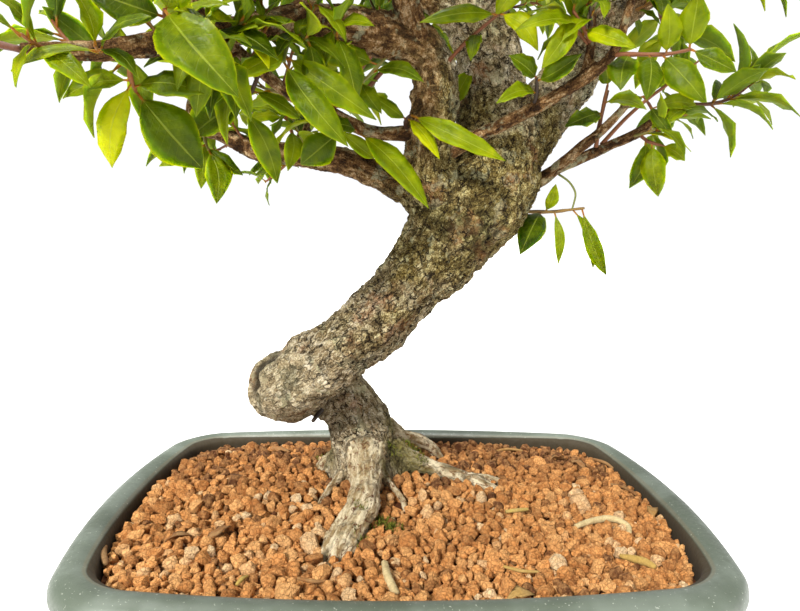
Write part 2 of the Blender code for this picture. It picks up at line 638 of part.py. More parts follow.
def soil_bit(name, grow=0.0):
    """A thin bent bit of wood bedded on the soil."""
    points = [(x, y, soil_height(x, y) + rise, radius) for x, y, rise, radius in SOIL_BITS[name]]
    return tube(name, sample_curve(points, 5.0), 5, 0.05, grow)


def along_stem(stem, t):
    """Point and direction at the share t of a stem's length."""
    lengths = [(b - a).length for a, b in zip(stem, stem[1:])]
    reach = t * sum(lengths)
    for (a, b), length in zip(zip(stem, stem[1:]), lengths):
        if reach <= length or b is stem[-1]:
            return a.lerp(b, min(1.0, reach / length)), (b - a).normalized()
        reach -= length


def grow_shoot(rng, start, bark, heading, length):
    """A shoot by rule: its stem, and leaves in whorls along it with one at the end."""
    stem = [start]
    course = heading.normalized()
    for part in range(4):
        wander = Vector([rng.uniform(-0.18, 0.18) for _ in range(3)])
        course = (course + UP * 0.1 + wander).normalized()
        stem.append(stem[-1] + course * (length / 4.0 + (0.0 if part else bark)))
    leaves = []
    twist = rng.uniform(0.0, math.tau)
    for t, count in WHORLS:
        twist += 1.1
        place, course = along_stem(stem, t)
        side = course.orthogonal().normalized()
        other = course.cross(side)
        for member in range(count):
            angle = twist + math.tau * member / count
            outward = side * math.cos(angle) + other * math.sin(angle)
            aim = (course * 0.6 + outward + UP * rng.uniform(-0.35, 0.1)).normalized()
            size = rng.uniform(*LEAF_LENGTH)
            leaves.append((t, place + aim * size, size * rng.uniform(0.33, 0.4), CROWN_BLADE))
    place, course = along_stem(stem, 1.0)
    size = rng.uniform(*LEAF_LENGTH)
    aim = (course + UP * rng.uniform(-0.3, 0.2)).normalized()
    leaves.append((1.0, place + aim * size, size * 0.36, CROWN_BLADE))
    return stem, leaves


def blade_sections(stem, leaf, grow=0.0):
    """The four-sided sections of a blade along its arched midrib, and its tip.

    Each section runs anticlockwise as seen from the tip.
    """
    t, tip, width, shares = leaf
    place, course = along_stem(stem, t)
    span = (tip - place).length
    aim = (tip - place) / span
    face = UP * 0.8 + course * 0.6
    face = face - aim * face.dot(aim)
    if face.length < 0.2:
        face = aim.orthogonal()
    face.normalize()
    side = aim.cross(face)
    thick = BLADE_THICKNESS / 2.0 + grow
    sections = []
    for part, share in shares:
        centre = place + aim * span * part + face * span * BLADE_ARCH * math.sin(math.pi * part)
        reach = width / 2.0 * share + grow
        fold = face * reach * BLADE_FOLD
        sections.append([
            centre + side * reach + fold, centre - face * thick,
            centre - side * reach + fold, centre + face * thick,
        ])
    return sections, tip + aim * grow


def skin(bm, loops, tip):
    """Faces from the first loop through the others to the tip."""
    for lower, upper in zip(loops, loops[1:]):
        for k in range(4):
            j = (k + 1) % 4
            bm.faces.new((lower[k], lower[j], upper[j], upper[k]))
    for k in range(4):
        bm.faces.new((loops[-1][k], loops[-1][(k + 1) % 4], tip))


def lone_blade(stem, leaf, grow, outer_only=False):
    """A blade by itself, to test for what it would cross."""
    sections, tip = blade_sections(stem, leaf, grow)
    if not outer_only:
        place, _ = along_stem(stem, leaf[0])
        centre = sum(sections[0], Vector()) / 4.0
        root = [place + (corner - centre).normalized() * (PETIOLE + grow) for corner in sections[0]]
        sections = [root] + sections
    bm = bmesh.new()
    loops = [[bm.verts.new(point * MM) for point in section] for section in sections]
    skin(bm, loops, bm.verts.new(tip * MM))
    bm.faces.new(tuple(reversed(loops[0])))
    bmesh.ops.triangulate(bm, faces=bm.faces)
    return mesh_from(bm, "blade")


def attach_blade(bm, root, stem, leaf):
    """Grow a blade out of a four-sided loop of the stem's skin."""
    sections, tip = blade_sections(stem, leaf)
    root_centre = sum((vert.co for vert in root), Vector()) / 4.0
    centre = sum(sections[0], Vector()) / 4.0
    spokes = [(vert.co - root_centre).normalized() for vert in root]
    corners = [(corner - centre).normalized() for corner in sections[0]]
    turn = min(range(4), key=lambda n: sum((spokes[k] - corners[(k + n) % 4]).length for k in range(4)))
    loops = [list(root)]
    for section in sections:
        loops.append([bm.verts.new(section[(k + turn) % 4] * MM) for k in range(4)])
    skin(bm, loops, bm.verts.new(tip * MM))


def leaf_groups(stem, leaves):
    """Leaves gathered by their place along the stem, up to four at one place, and the end leaf."""
    length = sum((b - a).length for a, b in zip(stem, stem[1:]))
    _, course = along_stem(stem, 1.0)
    at_end = [leaf for leaf in leaves if leaf[0] > 0.97]
    end_leaf = None
    if at_end:
        end_leaf = max(at_end, key=lambda leaf: (leaf[1] - stem[-1]).normalized().dot(course))
    groups = []
    for leaf in sorted((leaf for leaf in leaves if leaf is not end_leaf), key=lambda leaf: leaf[0]):
        reach = min(leaf[0] * length, length - NODE_SPACING + 0.3)
        if groups and reach - groups[-1][0] < NODE_SPACING and len(groups[-1][1]) < 4:
            groups[-1][1].append(leaf)
        else:
            groups.append((reach, [leaf]))
    return length, groups, end_leaf


def shoot_mesh(stem, leaves):
    """Stem and blades in one skin: blades grow out of the faces of a four-sided stem."""
    length, groups, end_leaf = leaf_groups(stem, leaves)
    bm = bmesh.new()
    across = (stem[1] - stem[0]).orthogonal().normalized()
    turn = 0.0
    loops = []
    roots = []
    stations = [(0.0, None)]
    for reach, members in groups:
        stations += [(reach - NODE_HALF, members), (reach + NODE_HALF, None)]
    stations.append((length, None))
    for reach, members in stations:
        share = reach / length
        centre, course = along_stem(stem, share)
        across = (across - course * across.dot(course)).normalized()
        other = course.cross(across)
        if members:
            place, _ = along_stem(stem, members[0][0])
            aim = (members[0][1] - place).normalized()
            wanted = math.atan2(aim.dot(other), aim.dot(across)) - math.pi / 4.0
            turn += (wanted - turn + math.pi / 4.0) % (math.pi / 2.0) - math.pi / 4.0
        radius = SHOOT_RADIUS * (1.0 - 0.4 * share) * math.sqrt(1.25)
        loop = []
        for k in range(4):
            angle = turn + k * math.pi / 2.0
            outward = across * math.cos(angle) + other * math.sin(angle)
            loop.append(bm.verts.new((centre + outward * radius) * MM))
        loops.append(loop)
        if members:
            free = [0, 1, 2, 3]
            for leaf in members:
                place, _ = along_stem(stem, leaf[0])
                aim = (leaf[1] - place).normalized()

                def agreement(k):
                    angle = turn + k * math.pi / 2.0 + math.pi / 4.0
                    return aim.dot(across * math.cos(angle) + other * math.sin(angle))

                best = max(free, key=agreement)
                free.remove(best)
                roots.append((len(loops) - 1, best, leaf))
    taken = {(index, k): leaf for index, k, leaf in roots}
    for index, (lower, upper) in enumerate(zip(loops, loops[1:])):
        for k in range(4):
            j = (k + 1) % 4
            ring = (lower[k], lower[j], upper[j], upper[k])
            if (index, k) in taken:
                attach_blade(bm, ring, stem, taken[index, k])
            else:
                bm.faces.new(ring)
    bm.faces.new(tuple(reversed(loops[0])))
    if end_leaf is not None:
        attach_blade(bm, loops[-1], stem, end_leaf)
    else:
        bm.faces.new(tuple(loops[-1]))
    bmesh.ops.triangulate(bm, faces=bm.faces)
    return mesh_from(bm, "shoot")


def crosses_itself(mesh):
    """Whether two triangles of a mesh that share no corner cross."""
    mesh.calc_loop_triangles()
    corners = [set(tri.vertices) for tri in mesh.loop_triangles]
    tree = tree_of(mesh)
    return any(not corners[a] & corners[b] for a, b in tree.overlap(tree) if a < b)


def tree_of(mesh):
    """A search tree of a mesh's triangles."""
    mesh.calc_loop_triangles()
    places = [vert.co.copy() for vert in mesh.vertices]
    return BVHTree.FromPolygons(places, [tuple(tri.vertices) for tri in mesh.loop_triangles])


def touches(mesh, solids):
    """Whether a mesh crosses any of the solids."""
    tree = tree_of(mesh)
    return any(tree.overlap(solid) for solid in solids)


def stands_clear(mesh, solids):
    """Whether a shoot's mesh crosses neither itself nor what stands already."""
    return not crosses_itself(mesh) and not touches(mesh, solids)


def bends():
    """Small turns tried in order until a leaf is clear of its neighbours."""
    yield Matrix.Identity(3)
    for degrees in (9, 18, 28, 40):
        for axis in ((1, 0, 0), (-1, 0, 0), (0, 1, 0), (0, -1, 0), (0, 0, 1), (0, 0, -1)):
            yield Matrix.Rotation(math.radians(degrees), 3, axis)


def seat_of(stem, wood_tree):
    """Where the stem's line leaves the wood."""
    inside, outside = stem[0] * MM, stem[1] * MM
    inward = (inside - outside).normalized()
    hit = wood_tree.ray_cast(outside, inward)[0]
    if hit is None or (hit - outside).length > (inside - outside).length:
        return stem[0], -inward
    return hit / MM, -inward


def seated_path(name, stem, wood_tree, solids):
    """The stem's points, with its foot drawn back until it is clear of the wood."""
    seat, outward = seat_of(stem, wood_tree)
    for step in range(12):
        path = [seat + outward * (FOOT_GAP + FOOT_STEP * step)] + stem[1:]
        samples = [Vector((*point, SHOOT_RADIUS)) for point in path]
        rod = tube("rod", samples, 6, grow=FOOT_GAP)
        blocked = touches(rod.data, solids)
        bpy.data.objects.remove(rod, do_unlink=True)
        if not blocked:
            return path
    print("stem blocked:", name)
    return None


def clear_leaves(name, stem, leaves, solids):
    """The leaves, each bent clear of other solids and of the leaves before it."""
    placed = []
    outer_trees = []
    for t, tip, width, shares in leaves:
        place, _ = along_stem(stem, t)
        for bend in bends():
            leaf = (t, place + bend @ (tip - place), width, shares)
            outer = lone_blade(stem, leaf, 0.15, outer_only=True)
            if touches(outer, outer_trees) or touches(lone_blade(stem, leaf, 0.3), solids):
                continue
            placed.append(leaf)
            outer_trees.append(tree_of(outer))
            break
        else:
            print("leaf dropped:", name, [round(c) for c in tip])
    return placed


def build_shoot(name, stem, leaves, wood_tree, solids, mat):
    """One leafy shoot, clear of all that stands already."""
    path = seated_path(name, stem, wood_tree, solids)
    if path is None:
        return None
    leaves = clear_leaves(name, path, leaves, solids)
    mesh = shoot_mesh(path, leaves)
    while leaves and not stands_clear(mesh, solids):
        trials = [leaves[:i] + leaves[i + 1:] for i in reversed(range(len(leaves)))]
        meshes = [shoot_mesh(path, trial) for trial in trials]
        clear = [i for i, trial in enumerate(meshes) if stands_clear(trial, solids)]
        chosen = clear[0] if clear else 0
        print("leaf left out:", name, len(clear))
        leaves, mesh = trials[chosen], meshes[chosen]
    if not stands_clear(mesh, solids):
        print("shoot left out:", name)
        return None
    return add_object(name, mesh, mat)


def build_foliage(wood, others, mat):
    """All leafy shoots, the low ones first."""
    rng = random.Random(CROWN_SEED)
    wood_tree = tree_of(wood.data)
    solids = [wood_tree] + [tree_of(other.data) for other in others]
    plans = []
    for name, (stem, leaves) in LOW_SHOOTS.items():
        blades = [(t, Vector(tip), width, LOW_BLADE) for t, tip, width in leaves]
        plans.append((name, [Vector(point) for point in stem], blades))
    counts = {}
    for limb, place, heading, length in CROWN_SHOOTS:
        samples = sample_curve(LIMBS[limb], 8.0)
        nearest = samples[round(place * (len(samples) - 1))]
        counts[limb] = counts.get(limb, 0) + 1
        stem, leaves = grow_shoot(rng, nearest.to_3d(), nearest.w, Vector(heading), length)
        plans.append(("%s_%d" % (limb, counts[limb]), stem, leaves))
    shoots = []
    for name, stem, leaves in plans:
        shoot = build_shoot("shoot_" + name, stem, leaves, wood_tree, solids, mat)
        if shoot is not None:
            solids.append(tree_of(shoot.data))
            shoots.append(shoot)
    return shoots


def centre_on_footprint(items):
    """Put the middle of the whole object's outline over the origin."""
    corners = [vert.co for item in items for vert in item.data.vertices]
    shift = Vector((
        -(min(c.x for c in corners) + max(c.x for c in corners)) / 2.0,
        -(min(c.y for c in corners) + max(c.y for c in corners)) / 2.0,
        0.0,
    ))
    for item in items:
        item.location = shift


def main():
    clear_scene()
    glaze = material("glazed_stoneware", (0.24, 0.30, 0.29), 0.25)
    clay = material("baked_clay_granules", (0.46, 0.20, 0.08), 0.95)
    bark = material("bark", (0.22, 0.18, 0.12), 0.9)
    green = material("leaf", (0.20, 0.36, 0.03), 0.45)
    mesh_black = material("screen_plastic", (0.02, 0.02, 0.02), 0.6)
    pale_wood = material("dry_wood", (0.55, 0.45, 0.30), 0.85)

    pot = build_pot(glaze)
    wood = build_wood(bark)
    bits = []
    for name in SOIL_BITS:
        bit = soil_bit(name)
        bit.data.materials.append(pale_wood)
        bits.append(bit)
    holes = root_holes() + [soil_bit(name, ROOT_GAP) for name in SOIL_BITS]
    soil = build_soil(clay, holes)
    screens = [build_screen(side, mesh_black) for side in (-1, 1)]
    shoots = build_foliage(wood, [pot, soil], green)
    centre_on_footprint([pot, soil, wood] + bits + screens + shoots)


main()
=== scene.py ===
"""Looks of the pomegranate bonsai: bark, leaves, clay granules, moss and the glazed pot.

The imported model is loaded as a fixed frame, and every piece is made round it from the same
limbs, shoots and pot profile. Tables are in millimetres from the pot's middle, with X to the
right of the front view, Y away from it and Z up. Finished objects are in metres.
"""
import json
import math
import random

import bmesh
import bpy
import numpy as np
from mathutils import Matrix, Vector, noise
from mathutils.bvhtree import BVHTree

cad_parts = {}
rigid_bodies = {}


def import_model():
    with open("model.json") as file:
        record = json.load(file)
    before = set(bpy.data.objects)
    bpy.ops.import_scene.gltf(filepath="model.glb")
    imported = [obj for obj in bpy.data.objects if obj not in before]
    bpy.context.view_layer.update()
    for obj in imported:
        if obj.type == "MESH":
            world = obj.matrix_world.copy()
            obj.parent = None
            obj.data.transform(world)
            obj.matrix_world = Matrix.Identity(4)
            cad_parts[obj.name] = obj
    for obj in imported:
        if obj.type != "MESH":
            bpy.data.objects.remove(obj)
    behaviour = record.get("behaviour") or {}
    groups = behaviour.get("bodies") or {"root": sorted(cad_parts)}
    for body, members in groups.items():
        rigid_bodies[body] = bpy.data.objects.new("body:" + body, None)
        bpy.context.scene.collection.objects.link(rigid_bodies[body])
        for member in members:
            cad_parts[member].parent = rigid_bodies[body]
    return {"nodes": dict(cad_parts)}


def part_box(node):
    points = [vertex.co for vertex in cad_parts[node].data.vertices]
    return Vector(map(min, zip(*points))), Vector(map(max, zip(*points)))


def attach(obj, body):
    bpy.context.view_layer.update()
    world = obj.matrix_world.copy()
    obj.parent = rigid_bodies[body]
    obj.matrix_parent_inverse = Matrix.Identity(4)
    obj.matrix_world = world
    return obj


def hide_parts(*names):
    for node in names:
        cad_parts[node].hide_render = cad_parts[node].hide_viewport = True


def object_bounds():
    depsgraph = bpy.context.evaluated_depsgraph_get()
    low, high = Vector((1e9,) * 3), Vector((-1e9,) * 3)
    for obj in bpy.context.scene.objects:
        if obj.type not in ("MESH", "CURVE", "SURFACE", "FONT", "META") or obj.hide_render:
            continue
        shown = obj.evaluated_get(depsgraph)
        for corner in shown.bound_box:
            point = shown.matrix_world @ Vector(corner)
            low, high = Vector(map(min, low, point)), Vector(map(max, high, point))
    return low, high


MM = 0.001
UP = np.array((0.0, 0.0, 1.0))

# The photograph's camera: focal length in pixels of the 800 wide picture, place in millimetres
# from the pot's middle, and turns in degrees
PHOTO_WIDTH = 800.0
FOCAL_PIXELS = 668.0
SENSOR_WIDTH = 36.0
CAMERA_PLACE = (-10.4, -309.5, 198.8)
CAMERA_PITCH = 7.05
CAMERA_YAW = 1.86
CAMERA_ROLL = 0.78

# The light: name, the way it travels, strength, angle in degrees and colour of each sun, and the
# surroundings' strength as light and what is added to it where they are seen
SUNS = (
    ("front_window", (0.42, 0.75, -0.55), 5.0, 11, (1.0, 0.975, 0.93)),
    ("roof_window", (0.06, -0.15, -1.0), 3.8, 22, (1.0, 0.99, 0.96)),
)
SKY_STRENGTH = 0.65
SEEN_STRENGTH = 0.4
SKY_COLOUR = (0.98, 0.99, 1.0, 1.0)
FLOOR_COLOUR = (0.93, 0.93, 0.93, 1.0)

# Seeds of the random draws
BARK_SEED = 7
GRANULE_SEED = 12
LITTER_SEED = 8
MOSS_SEED = 31
FOLIAGE_SEED = 5
CROWN_SEED = 41

# The pot. Each ring of a foot has its height and its outer and inner edge, inset from the outline
POT_LENGTH = 279.0
POT_DEPTH = 208.0
POT_HEIGHT = 70.0
POT_CORNER = 24.0
CORNER_SHRINK = 0.55
LEAST_CORNER = 6.0
SIDE_BOW = 12.5
END_BOW = 10.0
LIP_WIDTH = 14.0
FLOOR_UNDER = 8.0
FLOOR_TOP = 14.5
FOOT_TOP = 9.5
FOOT_RINGS = ((0.0, 21.6, 31.4), (0.6, 21.0, 32.0), (FOOT_TOP - 1.5, 19.0, 34.0), (FOOT_TOP, 18.5, 34.5))
FOOT_SHARE = 0.25
DRAIN_RADIUS = 9.0
DRAIN_DEPTH = 30.0
DRAIN_X = 62.0
CORNER_STEPS = 22
SIDE_STEPS = 26

# The filling. Granule sizes are (smallest, largest, tries), and shades go from dark to pale
SOIL_EDGE_Z = 62.5
SOIL_MOUND = 10.0
MOUND_CENTRE = (-12.0, 20.0)
MOUND_SPREAD = (75.0, 52.0)
BED_DROP = 3.4
BED_STEPS = 44
BED_RINGS = ((LIP_WIDTH + 8.4, FLOOR_TOP + 0.4), (LIP_WIDTH + 3.9, FLOOR_TOP + 7.0), (LIP_WIDTH + 1.0, 56.0))
GRANULE_SHAPES = 28
GRANULE_SIZES = ((4.1, 5.4, 26), (3.0, 3.7, 800), (2.1, 2.8, 9000), (1.3, 1.9, 18000))
CELL_SIZE = 7.0
PACKING = 0.8
WALL_CLEARANCE = 0.86
UNDER_SPACING = 5.0
UNDER_SIZES = (2.3, 3.1)
UNDER_RISE = -2.6
# Granules are painted darker towards the back of the pot, as painted shade of the crown: how much darker, and
# over what depth
BACK_PAINTED_SHADE = 0.42
PAINTED_SHADE_DEPTH = 60.0
ODD_SHARE = 0.03
ODD_SHADES = (0.0, 0.02, 0.95, 1.0)
SHADE_PLACES = (0.04, 0.3, 0.5, 0.72, 0.97)
GRANULE_SHADES = ((108, 70, 44), (190, 128, 72), (232, 162, 94), (242, 184, 118), (248, 220, 174))
FINES_SHADES = ((52, 30, 18), (76, 45, 27), (96, 58, 34), (112, 70, 42), (126, 80, 50))

# The wood. The wound's crack, rolled lip and inner ring are given by their radii, and each band of
# change in the bark by where it starts and how far it takes
TRUNK_VOXEL = 1.05
BRANCH_VOXEL = 0.9
LIMB_STEP = 2.5
AXIS_STEP = 3.0
AXIS_GAP = 90.0
BLOCK = 3000
PLATE = 4.8
FLAKE = 2.6
KNOB_CENTRE = (-55.0, 13.0, 118.5)
KNOB_RADII = (17.2, 18.5, 17.6)
KNOB_FACE = (-51.0, -19.0, 127.0)
KNOB_FACING = (0.1, -0.95, 0.25)
KNOB_LIP = (-0.85, 0.03, 0.5)
WOUND_CRACK = 15.0
WOUND_LIP = 17.8
WOUND_RING = 10.5
WORN_HEIGHTS = (98.0, 142.0)
WORN_BAND = (-30.0, 16.0)
FOOT_BAND = (100.0, 28.0)
LEFT_BAND = (20.0, 8.0)
BARE_BAND = (228.0, 34.0)
RUDDY_BAND = (205.0, 25.0)
CLIMB_BAND = (15.0, 110.0)
CLIMB_COURSE = (0.6, 0.0, 0.8)
YOUNG_RADIUS = 1.5
OLD_RADIUS = 9.0
MOSSY_SPOTS = (
    (0.0, 20.0, 82.0, 12.0), (7.0, 21.0, 75.0, 8.0), (14.0, 19.0, 70.0, 5.0), (-3.0, 26.0, 95.0, 8.0),
    (-28.0, 26.0, 80.0, 10.0), (-22.0, -42.0, 60.0, 5.0), (-9.0, 4.0, 80.0, 6.0),
)
BURR = (28.0, -18.0, 199.0)
BURR_REACH = 13.0

# The foliage: lengths in millimetres, and the rest as shares of a leaf's length or width
BLADE_ARCH = 0.12
BLADE_FOLD = 0.28
FOLD_RANGE = (0.7, 1.25)
STALK_SHARE = 0.1
LEAF_ROLL = 0.35
LEAF_SWAY = 0.09
LEAF_DROOP = (0.02, 0.09)
LEAF_CURL = (-0.4, 0.2)
WAVE_HEIGHT = (0.3, 1.1)
WAVE_COUNT = (2.0, 3.6)
LEAF_THICKNESS = 0.34
LEAF_COLUMNS = np.array((-1.0, -0.5, 0.0, 0.5, 1.0))
SHOOT_RADIUS = 1.05
TIP_RADIUS = 0.6
LEAF_LENGTH = (24.0, 37.0)
TUFT_LENGTH = (17.0, 30.0)
TUFT_LEAVES = 7
SPUR_LENGTH = (13.0, 27.0)
SPUR_LEAVES = (4, 5, 6)
SPUR_REACH = (7.0, 18.0)
SPUR_RADII = (0.75, 0.45)
WHORLS = ((0.28, 3), (0.54, 3), (0.8, 2))
FINE_ROWS = (0.0, 0.05, 0.1, 0.15, 0.22, 0.31, 0.42, 0.54, 0.66, 0.77, 0.87, 0.95, 1.0)
PLAIN_ROWS = (0.0, 0.1, 0.18, 0.32, 0.5, 0.68, 0.85, 1.0)

# The wood: each limb is a list of (x, y, z, radius) along its axis, in millimetres
LIMBS = {
    "base_trunk": [
        (-14, 22, 44, 19), (-15, 24, 60, 23), (-16, 25, 70, 21.5), (-17, 26, 80, 18),
        (-20, 29, 94, 15.6), (-27, 32, 105, 15.2), (-38, 32, 113, 15.5), (-50, 25, 117, 16),
    ],
    "diagonal": [
        (-55, 10, 119, 16.5), (-46, -2, 126, 16), (-30, -11, 139, 15.3), (-13, -12, 153, 14.8),
        (2, -9, 169, 15.2), (11, -6, 180, 17), (21, -2, 193, 21), (32, 3, 207, 25),
        (41, 8, 222, 24), (44, 10, 236, 21), (43, 12, 251, 17.8), (41, 13, 264, 16),
        (39, 15, 278, 14.9), (35, 17, 294, 14), (31, 20, 313, 12.4), (26, 21, 334, 10),
        (20, 19, 354, 7.6), (15, 16, 372, 5.4), (12, 13, 384, 3.2), (11, 12, 388, 2.4),
    ],
    "right_limb": [
        (42, 8, 222, 18), (56, 16, 238, 15.8), (71, 26, 256, 13.8), (85, 34, 274, 13),
        (98, 40, 291, 12.4), (107, 44, 310, 11.6), (114, 48, 329, 9.4), (124, 50, 344, 6.5),
        (134, 48, 354, 4.2), (142, 45, 361, 2.2),
    ],
    "left_stem": [
        (24, -2, 203, 17), (14, -8, 218, 12.5), (11, -10, 230, 10.6), (11, -12, 242, 9.6),
        (14, -14, 256, 9.4), (9, -18, 269, 9.3), (-2, -24, 274, 8.6), (-14, -32, 275, 7.6),
        (-26, -42, 275, 6.5), (-37, -52, 273, 5.9), (-49, -64, 267, 5), (-59, -74, 262, 4.4),
        (-69, -84, 258, 4), (-81, -95, 252, 3.6), (-94, -106, 247, 3), (-110, -114, 245, 2.1),
    ],
    "left_low": [
        (14, 4, 206, 9), (-1, 8, 215, 6.8), (-14, 12, 222, 6.1), (-27, 15, 227, 5.9),
        (-40, 18, 229, 5.8), (-54, 20, 231, 5.3), (-67, 22, 232, 5), (-78, 25, 236, 4.6),
        (-88, 28, 241, 4.1), (-99, 30, 244, 3.3), (-104, 32, 252, 2.5), (-102, 34, 262, 2),
        (-98, 35, 270, 1.6),
    ],
    "left_mid": [
        (10, -12, 238, 4.4), (-5, -14, 237, 3.2), (-14, -17, 237, 3), (-23, -22, 240, 2.8),
        (-31, -30, 243, 2.6), (-46, -46, 248, 2.4), (-57, -62, 255, 2.1), (-65, -78, 262, 1.7),
        (-70, -86, 268, 1.4),
    ],
    "right_cross": [
        (16, -10, 228, 4), (31, -16, 236, 3.1), (40, -21, 240, 2.9), (52, -26, 246, 2.8),
        (63, -30, 252, 2.7), (72, -34, 258, 2.7), (79, -36, 263, 2.2), (83, -38, 270, 2),
        (85, -42, 281, 1.8), (87, -48, 296, 1.5),
    ],
    "cross_up": [(71, -33, 257, 2.4), (73, -34, 265, 2), (73, -36, 276, 1.8), (72, -40, 288, 1.5)],
    "right_a": [
        (50, 12, 213, 4.5), (65, 8, 219, 2.9), (74, 5, 227, 2.7), (84, 2, 236, 2.5),
        (92, 0, 243, 2.2), (98, -2, 250, 1.9), (104, -4, 257, 1.6),
    ],
    "right_b": [
        (56, 10, 213, 3.6), (71, 9, 224, 2.8), (82, 10, 229, 2.7), (93, 12, 234, 2.6),
        (102, 14, 238, 2.5), (113, 16, 243, 2.4), (122, 18, 249, 2.3), (130, 20, 254, 2.1),
        (142, 22, 258, 1.8),
    ],
    "left_riser": [
        (-48, 19, 230, 3.2), (-47, 24, 243, 3.1), (-40, 26, 253, 2.8), (-26, 28, 268, 2.4),
        (-12, 30, 286, 2), (-6, 32, 302, 1.6),
    ],
    "upper_left": [
        (38, 15, 286, 10), (20, 18, 301, 8), (-8, 21, 322, 6.8), (-42, 20, 343, 5.4),
        (-80, 14, 357, 3.6), (-108, 8, 364, 2),
    ],
    "left_fan": [(-42, 20, 343, 4.6), (-64, 36, 350, 3.4), (-84, 52, 354, 2)],
    "left_drop": [(-60, 18, 350, 3.6), (-88, 22, 338, 2.8), (-112, 26, 324, 1.8)],
    "back_limb": [
        (41, 14, 268, 10), (39, 34, 284, 7), (34, 56, 302, 5.2), (26, 76, 320, 3.6),
        (18, 90, 332, 2.2),
    ],
    "back_fan": [(34, 56, 302, 4.2), (54, 70, 318, 3.2), (74, 82, 330, 2)],
    "back_left": [(30, 66, 310, 4), (2, 74, 326, 3), (-32, 84, 338, 1.9)],
    "right_side": [(100, 41, 296, 8), (118, 34, 308, 4.6), (136, 27, 317, 2.2)],
    "right_back": [(114, 48, 329, 6), (119, 64, 340, 3.8), (124, 80, 347, 2.2)],
    "front_right": [
        (36, 17, 291, 8.5), (46, -6, 308, 5.6), (58, -36, 324, 4), (70, -62, 334, 2.2),
    ],
    "front_left": [
        (4, -21, 272, 7), (-4, -42, 292, 4.6), (-14, -66, 310, 3.2), (-22, -84, 320, 2),
    ],
    "top_left": [(23, 20, 344, 6), (2, 8, 362, 4.2), (-24, -6, 374, 2.6), (-42, -16, 380, 1.8)],
    "top_right": [(20, 19, 352, 5.4), (44, 22, 364, 4), (66, 20, 374, 2.6), (80, 16, 378, 1.8)],
    "top_back": [(17, 18, 364, 4.6), (10, 42, 371, 3.3), (2, 64, 376, 2)],
    "top_front": [(27, 21, 336, 6), (24, -10, 354, 3.9), (18, -38, 366, 2.9), (12, -54, 372, 1.9)],
    "root_front": [
        (-17, 24, 84, 12), (-16, 8, 82, 9.2), (-16, -8, 77, 7.5), (-17, -22, 71.5, 7.1),
        (-22, -34, 67, 7.3), (-27, -45, 61, 7.2), (-31, -55, 52, 5),
    ],
    "root_right": [
        (-12, 23, 82, 11.5), (1, 25, 78, 7.4), (11, 24, 75.6, 4.9), (22, 22, 72.6, 4.1), (32, 19.5, 70, 3.9),
        (41, 15.5, 67.4, 3.8), (49, 11.5, 64.6, 3.3), (58, 8.5, 59, 2.4),
    ],
    "root_fork": [(36, 17, 69.4, 3.3), (47, 20, 67.4, 3), (58, 21, 63.5, 2.4), (68, 22, 58, 1.8)],
    "root_back": [
        (-9, 32, 91, 8.4), (-2, 38, 87.4, 5.2), (4, 43, 83.4, 3.7), (12, 48, 80, 3.2), (19, 51, 75, 3.1),
        (23.5, 52, 70, 2.9), (26.5, 52, 64.5, 2.4), (29, 51, 57, 1.9),
    ],
    "root_left": [(-20, 20, 77, 5.5), (-29, 7, 73.6, 2.6), (-35, -5, 69.5, 1.9), (-40, -12, 63, 1.4)],
    "root_mid": [(-10, 10, 77, 4), (-4, 2, 73.4, 2.1), (2, -9, 69, 1.7), (4, -18, 62, 1.4)],
    "root_backleft": [(-20, 28, 80, 11), (-31, 32, 74, 6.4), (-40, 34, 66, 4.6), (-48, 36, 56, 3)],
}

